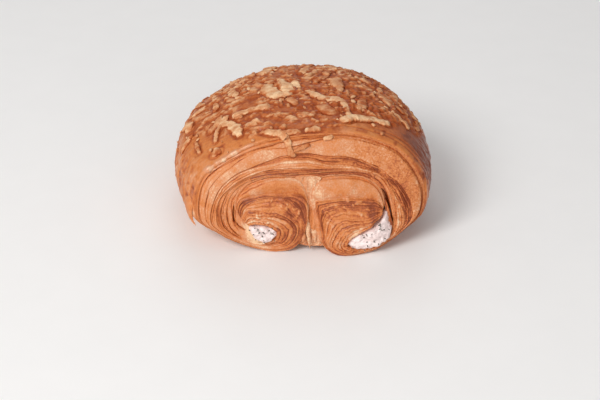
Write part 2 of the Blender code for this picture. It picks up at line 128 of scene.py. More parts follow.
# ---------------------------------------------------------------- the dough's leaves
# Edges between bands of leaves on the ends: distance along the sheet from the dome's middle, and
# place across the sheet. The first band starts at the crust and the last one ends at the inner face.
BAND_EDGES = (
    (  # under the skin
        (-151, 0.97), (-144, 0.955), (-138, 0.97), (-130, 0.985), (-90, 0.985), (-75, 0.96), (-62, 0.93),
        (-52, 0.93), (-40, 0.94), (-32, 0.95), (-22, 0.925), (-10, 0.93), (0, 0.955), (12, 0.955),
        (28, 0.975), (45, 0.98), (56, 0.96), (64, 0.93), (75, 0.96), (90, 0.985), (125, 0.99),
        (134, 0.965), (145, 0.955), (158, 0.98),
    ),
    (  # the split in the pale band
        (-151, 0.96), (-146, 0.90), (-142, 0.905), (-139, 0.945), (-132, 0.965), (-90, 0.95), (-66, 0.78),
        (-56, 0.725), (-48, 0.71), (-40, 0.71), (-34, 0.75), (-28, 0.80), (-22, 0.86), (-18, 0.87),
        (-13, 0.82), (-8, 0.785), (-4, 0.83), (0, 0.885), (5, 0.92), (12, 0.935), (28, 0.955), (56, 0.94),
        (64, 0.91), (90, 0.965), (158, 0.96),
    ),
    (  # the pale band's foot
        (-153, 0.92), (-150, 0.84), (-147, 0.75), (-144, 0.675), (-138, 0.65), (-128, 0.65), (-125, 0.73),
        (-122, 0.84), (-119.8, 0.91), (-116, 0.95), (-100, 0.90), (-75, 0.70), (-62, 0.64), (-54, 0.55),
        (-48, 0.485), (-43, 0.455), (-36, 0.46), (-31, 0.485), (-26, 0.46), (-21, 0.46),
        (-17, 0.50), (-13, 0.57), (-9, 0.60), (-4, 0.605), (0, 0.56), (4, 0.49), (10, 0.46), (15, 0.435),
        (20, 0.38), (25, 0.34), (30, 0.27), (34, 0.22), (38, 0.31), (42, 0.42), (48, 0.53), (54, 0.63),
        (60, 0.71), (66, 0.80), (75, 0.86), (90, 0.90), (105, 0.93), (118, 0.945), (122, 0.88), (125, 0.73),
        (127.5, 0.655), (131, 0.615), (137, 0.595), (145, 0.585), (158, 0.60),
    ),
    (  # the upper fine lines' foot
        (-151, 0.60), (-146, 0.60), (-142, 0.585), (-137, 0.58), (-130, 0.595), (-124, 0.575), (-120, 0.60),
        (-116, 0.66), (-112, 0.78), (-108, 0.84), (-100, 0.82), (-75, 0.64), (-62, 0.60), (-54, 0.52),
        (-48, 0.46), (-43, 0.43), (-36, 0.435), (-31, 0.46), (-26, 0.43), (-22, 0.41), (-18, 0.40),
        (-14, 0.42), (-10, 0.44), (-4, 0.45), (0, 0.43), (3, 0.33), (8, 0.24), (14, 0.22), (20, 0.18),
        (26, 0.14), (31, 0.09), (35, 0.065), (38, 0.08), (41, 0.12), (46, 0.19), (51, 0.28), (56, 0.38),
        (62, 0.48), (68, 0.58), (80, 0.70), (100, 0.78), (112, 0.84), (115, 0.79), (118, 0.68), (122, 0.61),
        (126, 0.52), (130, 0.47), (135, 0.44), (140, 0.42), (146, 0.40), (158, 0.42),
    ),
    (  # the lower fine lines' head
        (-151, 0.48), (-147, 0.42), (-144, 0.36), (-140, 0.32), (-136, 0.31), (-130, 0.31), (-125, 0.33),
        (-121, 0.39), (-117, 0.45), (-113, 0.55), (-110, 0.66), (-105, 0.70), (-98, 0.68), (-90, 0.62),
        (-75, 0.50), (-62, 0.42), (-56, 0.37), (-51, 0.36), (-46, 0.33), (-42, 0.26), (-37, 0.215),
        (-30, 0.22), (-25, 0.215), (-20, 0.25), (-15, 0.24), (-10, 0.225), (-5, 0.20), (0, 0.165),
        (6, 0.145), (12, 0.115), (16, 0.085), (20, 0.07), (26, 0.06), (31, 0.05), (35, 0.045), (38, 0.05),
        (41, 0.06), (46, 0.09), (51, 0.12), (56, 0.12), (62, 0.13), (68, 0.20), (80, 0.40), (95, 0.62),
        (103, 0.80), (105, 0.80), (107, 0.76), (109, 0.68), (112, 0.60), (116, 0.53), (119, 0.47),
        (122, 0.42), (126, 0.37), (130, 0.30), (134, 0.25), (138, 0.22), (143, 0.20), (158, 0.20),
    ),
    (  # the middle of the lower fine lines
        (-151, 0.32), (-146, 0.26), (-143, 0.21), (-140, 0.19), (-134, 0.20), (-128, 0.19), (-124, 0.22),
        (-120, 0.29), (-116, 0.36), (-112, 0.44), (-108, 0.50), (-100, 0.50), (-90, 0.45), (-75, 0.36),
        (-62, 0.30), (-56, 0.27), (-51, 0.25), (-46, 0.20), (-42, 0.16), (-37, 0.145), (-30, 0.14),
        (-25, 0.15), (-20, 0.14), (-15, 0.13), (-10, 0.11), (0, 0.08), (6, 0.07), (12, 0.06), (20, 0.035),
        (35, 0.022), (46, 0.045), (56, 0.055), (62, 0.06), (80, 0.20), (95, 0.50), (100, 0.60), (104, 0.50),
        (107, 0.40), (111, 0.33), (115, 0.28), (120, 0.22), (124, 0.19), (128, 0.17), (134, 0.14),
        (146, 0.10), (158, 0.10),
    ),
)
EDGE_GRID_STEP = 0.25
EDGE_SOFTENING = 1.5
Band = namedtuple("Band", "leaves gap_depth dome_bake roll_bake dome_reach roll_reach")
# Leaves in each band, the depth of the gaps in it, how browned it is on the dome and on the rolls,
# and how far its head and its foot stand out on the dome and on the rolls.
BANDS = (
    Band(1, 0.16, 0.40, 0.44, (-1.1, -0.3), (-1.1, -0.7)),
    Band(1, 0.34, 0.25, 0.32, (-0.4, 0.2), (-0.8, -0.1)),
    Band(1, 0.36, 0.24, 0.25, (0.2, 0.3), (-0.1, -0.5)),
    Band(5, 0.30, 0.60, 0.74, (0.1, -0.3), (1.0, 1.1)),
    Band(3, 0.20, 0.34, 0.52, (0.2, 0.3), (0.9, 1.2)),
    Band(4, 0.34, 0.42, 0.60, (0.0, -0.2), (1.5, 1.9)),
    Band(4, 0.34, 0.44, 0.52, (-0.4, -1.1), (2.0, 1.5)),
)
PALE_BANDS = (1, 2)
LEAST_LEAF = 0.004  # of the sheet's thickness
WIDEST_WANDER = 0.06  # of the sheet's thickness
# Waves along the leaves: amount, length, offset of the draws.
EDGE_WAVES = ((0.30, 9.0, 40), (0.24, 2.4, 80))
GAP_WAVES = ((0.5, 11.0, 0), (0.45, 3.0, 60))
STEP_WAVES = ((0.26, 22.0, 120), (0.10, 5.0, 150))
BAKE_WAVES = ((0.14, 30.0, 200),)
ROLL_BAKE_WAVES = ((0.07, 6.0, 230),)  # twice as strong on the rolls
# Rows of points on a leaf, as shares of it.
THIN_LEAF_ROWS = (0.0, 0.13, 0.32, 0.5, 0.68, 0.87)
PALE_LEAF_ROWS = (
    0.0, 0.02, 0.05, 0.09, 0.14, 0.2, 0.27, 0.34, 0.42, 0.5, 0.58, 0.66, 0.73, 0.8, 0.86, 0.91, 0.95, 0.98,
)
BACK_LEAF_ROWS = (0.0, 0.3, 0.7)
# The gaps between leaves are sunk in, and painted darker by their depth as painted shade.
GAP_DEPTH = 0.0004  # metres
GAP_MIDDLE = 0.65  # of a band's gap depth, which waves along the leaves
GAP_WIDTH = 0.18
GAP_SHADE_WIDTH = 0.19
GAP_FULL_SHADE_DEPTH = 0.3  # a gap this deep is painted fully dark, as painted shade
THIN_LEAF = 0.4  # a gap beside a leaf thinner than this is shallower
STEP_LEAF = 0.5  # a leaf thinner than this steps less
STEP_WIDTH = 0.22
LEAF_CROWN = 0.14  # how far a leaf a millimetre thick swells
# Where the leaves lie close on the ends: along, across, reach along, reach across, share of the gaps closed.
CLOSED_GAPS = (
    (-112, 0.98, 16, 0.05, 0.9), (112, 0.98, 14, 0.05, 0.9), (-128, 0.98, 10, 0.06, 0.8),
    (126, 0.98, 8, 0.06, 0.8), (-109, 0.72, 7, 0.28, 0.9), (103, 0.78, 5, 0.25, 0.6),
    (128, 0.20, 26, 0.22, 0.45), (146, 0.45, 6, 0.35, 0.4), (-100, 0.9, 6, 0.2, 0.5),
)
ROLL_GAPS_CLOSED = (0.192, 0.672)  # on the rolls, for every other gap in turn
ROLL_LEAF_CONTRAST = 0.11  # browning of every other leaf on the rolls
GRAIN_OF_LEAVES = 0.9
GRAIN_OF_PALE_BAND = 1.7
# Fine lines where leaves part within the pale band on the left: along, across, depth.
LEAF_LINES = (
    ((-80, 0.90, 0.0), (-62, 0.86, 0.12), (-50, 0.835, 0.14), (-38, 0.85, 0.12), (-26, 0.91, 0.10),
     (-16, 0.96, 0.0)),
    ((-84, 0.79, 0.0), (-64, 0.72, 0.12), (-54, 0.65, 0.14), (-44, 0.60, 0.12), (-34, 0.61, 0.08),
     (-26, 0.66, 0.0)),
    ((-90, 0.86, 0.0), (-78, 0.83, 0.10), (-66, 0.82, 0.10), (-54, 0.77, 0.08), (-46, 0.77, 0.0)),
)
LEAF_LINE_WIDTH = 0.22
LEAF_LINE_SHADE_WIDTH = 0.2
# Raised knots on browned leaves, painted pale as painted glints: along, across, reach along and across,
# share.
KNOTS = (
    (-128, 0.52, 9, 0.10, 1.0), (-118, 0.66, 6, 0.14, 0.8), (-142, 0.24, 7, 0.08, 0.8),
    (137, 0.52, 9, 0.10, 1.0), (144, 0.36, 5, 0.16, 0.6), (122, 0.60, 5, 0.10, 0.6),
)
KNOT_GRAIN = 1.1
KNOT_HEIGHT = 0.40
KNOT_GLINT_PALENESS = 0.60
KNOT_GROUND = 0.16  # browning between the knots
# Swellings of the ends: along, across, reach along, reach across, how far they stand out.
END_SWELLINGS = ((93, 0.5, 6.0, 1.5, 1.9), (136, 0.78, 14, 0.16, 0.9), (-134, 0.86, 12, 0.12, 0.6))
# Baked or pale patches on the ends: along, across, reach along, reach across, amount of browning. The patches
# marked below are painted shade.
END_PATCHES = (
    # on the dome
    (38, 0.72, 24, 0.45, 0.15), (46, 0.46, 18, 0.40, 0.24), (60, 0.80, 10, 0.20, 0.10),
    (0, 0.07, 15, 0.13, 0.25), (8, 0.36, 10, 0.08, 0.10), (-53, 0.29, 6, 0.09, 0.25),
    (-31, 0.30, 5, 0.07, 0.16), (58, 0.36, 14, 0.20, 0.08), (42, 0.86, 20, 0.10, 0.08),
    (-55, 0.10, 13, 0.10, -0.12), (55, 0.19, 8, 0.07, -0.22), (-86, 0.32, 8, 0.34, -0.30),
    (-44, 0.18, 12, 0.05, 0.10), (-6, 0.50, 6, 0.04, 0.12),
    # on the left roll
    # (-103, 0.85) below is painted shade in the valley between the rolls.
    (-147, 0.08, 9, 0.14, -0.30), (-128, 0.0, 12, 0.09, -0.30), (-103, 0.85, 7, 0.30, 0.25),
    (-105, 0.50, 7, 0.15, 0.12), (-147, 0.55, 3, 0.30, 0.10), (-118, 0.75, 6, 0.2, 0.12),
    # (-134, 0.80) below and (-131, 0.86) further down are painted shadow on the left cap, under the band
    # above it.
    (-120, 0.98, 12, 0.06, -0.30), (-134, 0.80, 13, 0.16, 0.14), (-111, 0.76, 6, 0.2, -0.04),
    (-118, 0.35, 8, 0.16, 0.16), (-104, 0.25, 7, 0.14, 0.16), (-96, 0.40, 7, 0.2, 0.06),
    (-131, 0.86, 13, 0.15, 0.04), (-113, 0.50, 10, 0.26, 0.22),
    # on the right roll
    (150, 0.40, 6, 0.40, 0.20), (99, 0.30, 7, 0.35, 0.10), (110, 0.40, 8, 0.40, -0.12),
    (104, 0.65, 5, 0.30, -0.12), (134, 0.03, 14, 0.09, -0.36), (116, 0.98, 12, 0.06, -0.20),
    (122, 0.52, 7, 0.10, 0.10), (149, 0.36, 4.5, 0.34, 0.24), (126, 0.86, 6, 0.12, -0.10),
    # (131, 0.90) below is painted shadow on the right cap, under the band above it.
    (131, 0.90, 10, 0.10, 0.04), (150, 0.62, 10, 0.14, -0.10), (128, 0.60, 7, 0.10, -0.08),
    # (99, 0.80) below is painted shade low on the right roll.
    (99, 0.80, 7, 0.36, 0.20), (138, 0.47, 11, 0.12, -0.10),
)
# Browning of the sheet's inner side, and of its outer side on the dome and on the rolls.
INNER_BAKE = 0.45
OUTER_BAKE = (0.55, 0.34)
SIDE_SHARES = (0.006, 0.02, 0.045, 0.08, 0.13, 0.2, 0.3, 0.42, 0.55, 0.68, 0.8, 0.88, 0.94, 0.97, 0.988)
DOUGH_STEP = 0.78
SKIN_TUCK = 0.035  # of the sheet's thickness: how far the dough keeps below the skin
TUCK_FADE = (12.0, 3.0)  # before the skin's reach: where the dough comes up to the form again
UNDER_SKIN = (0.90, 0.97)  # across the sheet: where the ends dip under the skin's rim
UNDER_SKIN_DIP = 0.30
PALE_GRAIN_FROM = (2.0, 28.0)  # along the sheet, where the pale band's grain comes in

# ---------------------------------------------------------------- the browned skin
SKIN_REACH = 90.0  # along the sheet, under both sides
SKIN_FINE_REACH = 53.0
SKIN_FINE_STATIONS = 281
SKIN_SIDE_STATIONS = 49
SKIN_FRONT_SHARE = 0.62  # of the length, with closer rows than the rest
SKIN_FRONT_ROWS = 158
SKIN_BACK_ROWS = 64
RIM_SHARES = (0.0, 0.12, 0.28, 0.45, 0.62, 0.78, 0.9)
INNER_SHARES = (0.03, 0.15, 0.5, 0.85, 0.97)
SKIN_OUT = 0.10  # how far the skin lies above the form between its bumps
SKIN_UNDER = 0.10  # how far it sinks below the form under both sides
SKIN_DEPTH = 0.075  # of the sheet's thickness
SKIN_FADE = (22.0, 4.0)  # before its reach: where it sinks below the form
RIM_OUT = 0.45
RIM_OUT_LEFT = 0.05
RIM_CHANGE = (-20.0, 15.0)  # along the sheet, from the left rim's looks to the right one's
RIM_DIVE = 1.0
EDGE_FALL = 0.006  # of the length: where the skin's edge meets the rounded end
# Unevenness of the skin by name: grain size, start of the draws, octaves.
SKIN_GRAIN = {
    "swells": (9.0, 41, 2), "bubbles": (2.6, 31, 3), "blisters": (3.4, 36, 1), "fine": (0.8, 51, 1),
    "drift": (3.5, 44, 2), "mottling": (4.0, 47, 3), "pits": (1.9, 49, 1), "knobs": (2.3, 48, 2),
    "melt": (1.1, 56, 2), "clouds": (14.0, 71, 3), "scorches": (1.6, 76, 1), "tan": (4.5, 86, 3),
    "cheese_clouds": (12.0, 81, 2), "gleams": (1.3, 96, 1),
}
SKIN_BAKE = 0.56
# Streaks on the sides: grain size, start of the draws, octaves. Only this share of a distance along the
# sheet counts for them, so they come out long that way.
STREAK_SQUEEZE = 0.14
STREAK_GRAIN = (1.5, 46, 3)
# The skin turns from the dome's to the sides' finish between these distances along the sheet.
SIDE_FROM, SIDE_FULL = 34.0, 52.0
# Lines in the skin beside its front edge, painted darker by their depth as painted shade: distance from the
# edge, from and to along the sheet, depth.
LIP_LINES = (
    (2.1, 2, 78, 0.34), (4.3, 18, 80, 0.30), (6.8, 34, 84, 0.24), (9.4, 40, 84, 0.20), (2.4, -74, -44, 0.26),
    (5.0, -80, -56, 0.24), (8.2, -84, -62, 0.22),
)
LIP_LINE_WIDTH = 0.28
LIP_LINE_FULL_SHADE = 0.25  # a line this deep is painted fully dark, as painted shade
# The ragged ridge on the left edge, glossy and painted pale as a painted highlight: distance from the edge,
# from and to along the sheet, height.
LIP_RIDGE = (-0.7, -52, -12, 0.75)
LIP_RIDGE_WIDTH = 0.75
# Browning of the skin: along, y, reach along, reach y, amount. The patches on the right side in front, from
# along 38 to 68, are painted shade where the side turns from the window light. The one low on the right at
# along 84 darkens the lower side as painted shade.
SKIN_PATCHES = (
    (-52, -8, 20, 26, -0.12), (-66, -22, 14, 14, -0.10), (62, -18, 18, 26, 0.30), (26, -31, 22, 5, -0.06),
    (-30, -30, 16, 5, -0.10), (4, 6, 40, 28, 0.10), (84, 0, 14, 60, 0.22), (-84, 0, 12, 60, 0.20),
    (48, 14, 14, 18, 0.12), (-46, 22, 16, 16, 0.06), (68, -26, 10, 16, 0.12), (-2, -32, 12, 5, 0.12),
    (40, -24, 14, 8, 0.18), (46, -24, 10, 14, 0.26), (58, -22, 10, 16, 0.12), (38, -10, 10, 14, 0.14),
)
CHEESE_CENTRE = (1.0, 4.0)
CHEESE_REACH = (46.0, 37.0)
BARE_FRONT = (-25.5, -22.5)  # on the right half the skin in front of this is bare
BARE_SHARE = 0.85
CHEESE_EDGE = (0.86, 1.06)  # of its reach: where the cheese begins to thin out, and where it ends
BARE_FROM = (7.0, 15.0)  # along the sheet
CHEESE_BACK_LIMIT = 0.965  # of the length: shreds and crumbs hardly reach past it
CHEESE_BACK_GIVE = 0.05  # the share of a distance past it that counts
CHEESE_LOWEST = 0.95  # of the sheet's thickness: how far down on the end cheese hangs
GROUND_TONE = 0.78  # browning of the cheese between the melted bits
# Melted bits: how far from the cheese's middle, as a share of its reach, how much they bend, and the least,
# the most and the commonest length, width and browning. Their heights are drawn evenly.
STRAND_FURTHEST = 1.05
STRAND_BEND = 1.2
STRAND_LENGTH = (0.8, 6.0, 1.6)
STRAND_WIDTH = (0.7, 2.6, 1.2)
STRAND_HEIGHT = (0.25, 0.75)
STRAND_TONE = (0.30, 0.92, 0.66)
# Melted bits are lower on the left and at both sides, by this share.
LEFT_CALM = 0.6
EDGE_CALM = 0.45

# Cheese: how browned each shred is, and its way over the crust as (distance along the sheet from the
# dome's middle, y, width). A place in front of the crust's front edge lies on the end below it.
CHEESE = (
    (0.16, ((-23, -9.7, 3), (-18.9, -9.2, 3.4), (-15, -9.9, 3.2), (-11.8, -10.3, 4.4))),
    (0.22, ((-25.6, -7, 2.6), (-26.9, -10.5, 3.4), (-24.8, -13.8, 3),
            (-23.6, -18.2, 4.6), (-23.3, -21.8, 3.4), (-23.3, -23.7, 2.8))),
    (0.42, ((-27.8, -11.6, 2), (-30.3, -15.5, 2), (-31.6, -19.8, 1.6))),
    (0.10, ((-10.2, 8.5, 3.4), (-10.9, 3.7, 5), (-9.5, -0.3, 5.6), (-8.6, -3.4, 4.2))),
    (0.08, ((-6.1, 12.1, 2.6), (-5.3, 6.8, 4), (-4, 1.9, 5.8), (-4.6, -1.9, 4.2))),
    (0.12, ((-0.8, 11.1, 1.8), (-1.4, 6.2, 3.4), (-2.7, 1.4, 3.8))),
    (0.16, ((-9.5, -2.4, 3.6), (-6.6, -2.7, 3.4), (-3.9, -1.9, 3.6))),
    (0.42, ((11.5, 8, 6.4), (11.8, 3.2, 4.8), (11.9, -1.2, 3.2), (11.4, -5.8, 2.2))),
    (0.16, ((1.7, -0.8, 2.2), (3.3, -4.4, 2.8), (4.8, -7.2, 3.2),
            (7.3, -9.4, 4.4), (10.2, -10, 4.6), (11.5, -11.2, 3.8))),
    (0.30, ((11.5, -11.1, 3.4), (12.7, -14.7, 2.4), (13.2, -19.5, 2), (13.3, -21.4, 1.6))),
    (0.50, ((4, -14.4, 3.2), (6.3, -17.4, 5.6), (8.6, -19.6, 4.2))),
    (0.16, ((11, -25.7, 3.2), (12.7, -24.3, 4.8), (15.1, -23, 4.4),
            (18.1, -22.6, 3.8), (21.5, -22.1, 3.8), (24.5, -22.2, 3.4), (27, -22.2, 3))),
    (0.45, ((24.6, -20.6, 1.8), (23.1, -16.5, 1.6))),
    (0.30, ((-15.8, -26.6, 2.2), (-13.5, -28, 3.2), (-10.6, -29.1, 3.2), (-9.5, -30.7, 2.4))),
    (0.40, ((-10.6, -29.6, 2.8), (-8.9, -31.6, 2.6), (-8.1, -34, 2.2), (-7.1, -38.3, 2.4))),
    (0.42, ((-9.6, -29.4, 2.4), (-6.1, -29.9, 2.4), (-3.6, -30.3, 1.8))),
    (0.36, ((-1.6, -29.9, 1.8), (1.0, -29.6, 2.8), (3.0, -30, 2.0))),
    (0.34, ((4.4, -33.5, 1.1), (6.2, -33.2, 1.7), (7.6, -32.7, 1.1))),
    (0.52, ((-7.0, -36.2, 1.0), (-4.0, -35.3, 1.6), (-0.8, -34.6, 1.2))),
    (0.35, ((-38, -11.7, 1.2), (-38, -15.9, 1.8), (-38.1, -20.2, 1.4))),
    (0.34, ((-34, -26.4, 3.4), (-31.8, -25.6, 3.8))),
    (0.22, ((-23.1, 16.4, 2), (-22.8, 12.1, 3.4), (-21.7, 8.3, 3.4), (-21.2, 6.7, 1.8))),
    (0.36, ((-18.7, 11.3, 1.6), (-18.4, 7.3, 2.8))),
    (0.42, ((-24.1, 5.5, 2.4), (-22.7, 3.7, 2.4))),
    (0.28, ((29.2, -10.6, 1.6), (31.0, -12.8, 2.6), (33.4, -14.8, 3.0), (35.6, -16.6, 2.0))),
    (0.28, ((26.2, -1, 2.8), (28.1, -4.1, 4.2), (29.1, -5.7, 3.4))),
    (0.42, ((30.7, -4.7, 1.8), (33.7, -6.2, 2.8), (36, -4.9, 2))),
    (0.26, ((3.8, 26, 2.8), (3.4, 21.7, 4.2), (1.6, 18.7, 2.8))),
    (0.40, ((11.1, 18.4, 2.8), (9.8, 14.7, 3.2))),
    (0.36, ((-5.1, -6.1, 1.8), (-3.6, -8.9, 2.8), (-2.9, -11.2, 2.4))),
    (0.46, ((-7.1, -5.4, 1.2), (-7.3, -11.4, 1.4))),
    (0.46, ((-3.1, -18.6, 2.4), (-0.6, -19.8, 3.2), (1.4, -21.5, 2.2))),
    (0.50, ((19, -8.1, 2.8), (18, -12.5, 4.4), (17.1, -16.5, 3.2))),
    (0.44, ((23.4, 0.8, 1.8), (22.9, -3.1, 2.4))),
    (0.50, ((20.4, -0.2, 2.2), (20.1, -2.8, 1.6))),
    (0.46, ((17.7, 7.3, 2.8), (18.3, 5.3, 2.2))),
    (0.34, ((27.2, 9.5, 1.4), (26.9, 4.8, 2.2), (27, 3.1, 1.4))),
    (0.24, ((-12.4, 24.8, 4.6), (-10, 30, 5.6), (-7.5, 35.6, 4.4))),
    (0.40, ((-29.5, 9.2, 1.6), (-28.4, 4.6, 2.6), (-29.2, 1.8, 1.8))),
)
CHEESE_SEED = 7
SCATTERED_SHREDS = 26
SCATTER_ALONG = (-42.0, 42.0)
SCATTER_Y = (-14.0, 36.0)
SCATTER_LENGTH = (3.0, 9.0)
SCATTER_THICKNESS = (1.4, 4.0)
SCATTER_TONE = (0.24, 0.52)
SCATTER_CLEARANCE = 6.5
SHRED_LEAST_HEIGHT = 0.75
SHRED_RISE = 0.20  # further height for each millimetre of width
SHRED_TALLEST = 1.75
SHRED_SINK = 0.3
SHRED_STEPS = 12
SHRED_LEAST_RINGS = 10
SHRED_OVERHANG = 0.32  # of its width: how far a shred reaches past both ends of its way
SHRED_TAPER = 0.55  # of its width: the length over which its ends thin out
SHRED_SQUARENESS = (0.6, 0.75)  # powers that make its round section squarer, sideways and upwards
# Waves along a shred, as shares of its width or height: amount, length, offset of the draws.
SHRED_WIDTH_WAVES = ((0.09, 1.5, 400), (0.06, 0.7, 500))
SHRED_DRIFT_WAVES = ((0.12, 2.2, 600),)
SHRED_HEIGHT_WAVES = ((0.25, 1.8, 650),)
# Lumps and spots of browning on a shred: amount, grain size, start of the draws.
SHRED_LUMPS = ((0.16, 0.75, 33), (0.22, 1.7, 34))
SHRED_SPOTS = ((0.20, 2.4, 35), (0.20, 1.0, 36))
SHRED_SIDES = 20
SHRED_RING_STEP = 0.3
CRUMB_ROUND = ((21.4, -26.1, 1.5), (24.4, -30.0, 1.3))  # crumbs with their own place: along, y, size
CRUMB_FRONT = -30.0
CRUMB_SPREAD = 0.62  # of the cheese's reach
CRUMB_FURTHEST = 1.12  # of the cheese's reach
CRUMB_SIZE = (0.7, 1.7)
CRUMB_LENGTHENING = (1.0, 2.4)
CRUMB_ROUND_LENGTHENING = 1.2
CRUMB_FLATNESS = 0.62
CRUMB_TONE = (0.25, 0.85)
CRUMB_UNEVENNESS = ((0.45, 0.55, 38),)  # amount, grain size, start of the draws

# ---------------------------------------------------------------- the dough inside, and the cream
# Strips of dough that join the sheet's turns: pairs of points on the front end, side to side.
CREASE_STRIP = (
    ((-8.0, 2.6), (5.0, 2.4)), ((-6.0, 5.0), (4.4, 4.8)), ((-4.5, 9.0), (4.0, 9.0)),
    ((-3.6, 14.0), (3.6, 14.0)), ((-3.2, 18.5), (2.4, 18.5)), ((-4.0, 23.0), (1.2, 23.0)),
    ((-5.0, 26.5), (1.9, 26.5)), ((-6.4, 29.8), (3.6, 29.4)),
)
CREASE_SET_BACK = 0.35
LAP_STRIP = (
    ((-25.0, 2.6), (-17.0, 2.2)), ((-26.2, 5.6), (-19.0, 4.6)), ((-26.8, 9.0), (-21.0, 8.4)),
    ((-27.4, 11.6), (-22.4, 11.4)), ((-27.5, 14.5), (-23.5, 14.0)), ((-27.3, 17.0), (-24.5, 17.0)),
)
LAP_SET_BACK = 0.7
# Seams over and beside the rolls, as lines on the front end.
TOP_SEAM = (
    (-21.5, 27.8), (-17.0, 29.2), (-11.0, 29.9), (-4.0, 30.3), (1.0, 30.5), (6.0, 30.6), (11.5, 30.6),
    (18.5, 29.7), (22.5, 28.0),
)
TOP_SEAM_HALF_WIDTH = 1.7
LEFT_SIDE_STRIP = (
    (-20.5, 28.2), (-24.8, 25.6), (-28.2, 21.0), (-29.4, 15.5), (-29.0, 10.5), (-27.2, 7.2), (-24.0, 4.6),
    (-20.0, 3.6),
)
RIGHT_SIDE_STRIP = ((20.5, 28.9), (24.6, 26.3), (27.3, 21.8), (28.6, 17.6), (29.6, 13.0), (29.8, 8.5))
SIDE_HALF_WIDTH = 2.3
SEAM_SET_BACK = 0.9
SIDE_SET_BACK = 1.2
# Slits beside the rolls, sunk in and painted dark as painted shade, as lines on the front end with a width.
SLITS = (
    ((25.2, 22.8, 0.5), (26.3, 20.8, 1.2), (27.5, 18.3, 0.5), (28.7, 14.7, 0.3), (29.6, 11.3, 0.2),
     (29.9, 5.3, 0.2)),
    ((-27.2, 20.0, 0.1), (-27.6, 17.4, 0.5), (-27.9, 14.3, 0.8), (-27.9, 11.6, 0.6), (-26.6, 9.8, 0.4),
     (-24.6, 8.4, 0.2)),
)
SLIT_DEPTH = 3.0
SLIT_SHADE = 1.9
STRIP_STEPS = 14
STRIP_TIP_STATIONS = 4.0  # within which a strip thins out at both tips
STRIP_ROWS = 33
STRIP_SIDE_SHARES = (0.01, 0.03, 0.08, 0.2, 0.4, 0.6, 0.8, 0.92, 0.97, 0.99)
STRIP_SIDE_BAKE = 0.5
STRIP_GAP_WIDTH = 0.22
STRIP_GAP_DEPTH = 0.25

CAP_RINGS = 34
CREAM_SIDES = 120
CREAM_SWELL = 1.5
CREAM_TUCK = 2.4
CREAM_CLEARANCE = 0.975  # of the solid filling's half width, inside the loaf
CREAM_SHARES = (0.02, 0.05, 0.12, 0.25, 0.42, 0.58, 0.75, 0.88, 0.95, 0.98)
LEFT_FILLING_CENTRE = (-19.2, 7.7)
LEFT_FILLING_HALF_SIZES = (4.4, 3.7)
RIGHT_FILLING = (
    (13.5, 4.6), (15.0, 3.6), (17.5, 3.2), (22.0, 3.2), (25.8, 4.6), (28.1, 6.9), (28.8, 10.0),
    (28.6, 12.8), (27.8, 14.6), (27.0, 14.4), (26.0, 13.2), (24.3, 12.2), (21.7, 11.2), (18.8, 9.8),
    (16.5, 8.3), (14.5, 7.1), (13.5, 5.8),
)
# The outlines of their swollen ends, each from its right side round over the top.
LEFT_LIP = (
    (-12.8, 8.0), (-13.3, 9.6), (-14.5, 11.2), (-16.7, 11.2), (-19.0, 11.6), (-21.2, 11.3), (-23.2, 11.1),
    (-24.4, 9.7), (-23.7, 8.0), (-22.5, 6.2), (-21.0, 4.3), (-18.4, 3.3), (-15.9, 4.0), (-14.0, 6.1),
)
RIGHT_LIP = (
    (11.5, 4.7), (12.2, 3.0), (14.5, 2.2), (17.6, 2.0), (20.4, 1.9), (23.2, 2.4), (26.0, 3.7), (28.7, 5.5),
    (29.4, 9.2), (29.1, 12.2), (28.2, 14.9), (26.6, 15.3), (25.2, 13.2), (23.6, 11.5), (21.2, 10.4),
    (18.6, 9.6), (15.9, 8.6), (13.2, 7.0),
)

# Slivers of herb in a filling's end: share of its outline that they reach, height above its swelling,
# length, width and thickness.
HERB_SPREAD = 0.92
HERB_LIFT = (0.0, 0.6)
HERB_LENGTH = (0.4, 1.1)
HERB_WIDTH = 0.7
HERB_THICKNESS = (0.22, 0.42)

# Loose crust at the edges: root, tip and the way its width goes (x on the front end, y, z), width at the
# root, thickness, browning.
FLAKES = (
    ((-45.0, -26.0, 18.5), (-42.6, -32.2, 8.8), (-0.32, 0.95, 0.0), 9.0, 1.6, 0.42),
    ((-2.2, -38.9, 14.0), (-1.6, -41.2, 1.2), (1.0, 0.0, 0.0), 2.6, 1.0, 0.10),
    ((-0.4, -38.7, 11.0), (0.5, -40.6, 3.4), (1.0, 0.0, 0.0), 3.4, 1.0, 0.16),
    ((-3.6, -38.9, 9.0), (-3.9, -40.6, 3.6), (1.0, 0.0, 0.0), 2.4, 1.0, 0.30),
)
FLAKE_EDGE_WAVES = ((0.22, 1.6, 900), (0.12, 0.7, 940))
FLAKE_RINGS = 26
FLAKE_SIDES = 24

# ---------------------------------------------------------------- the stage
FLOOR_HALF_SIZE = 4.0  # metres
# Soft lights: name, place and size in metres, power, colour.
LIGHTS = (
    ("window", (-0.62, -0.62, 0.72), 0.5, 8.6, (1.0, 0.985, 0.97)),
    ("fill", (0.25, -1.0, 0.35), 0.6, 2.1, (1.0, 0.98, 0.96)),
    ("rim", (0.1, 0.8, 0.7), 0.6, 1.8, (1.0, 0.98, 0.98)),
)
LIGHTS_AIM = (0.0, 0.0, 0.02)  # metres
ROOM_LIGHT = 0.36
LOOK_AT = (-0.87, -4.53, 0.0)
VIEW_DISTANCE = 490.0
VIEW_AZIMUTH = -5.96
VIEW_ELEVATION = 30.03
VIEW_ROLL = -0.29
LENS = 75.0
SENSOR_WIDTH = 36.0
CLIPPING = (0.01, 20.0)  # metres


# ================================================================ form
def smooth_step(low, high, value):
    """From 0 at one value to 1 at the other, levelling out at both. The first may be the larger."""
    share = np.clip((value - low) / (high - low), 0.0, 1.0)
    return share * share * (3.0 - 2.0 * share)


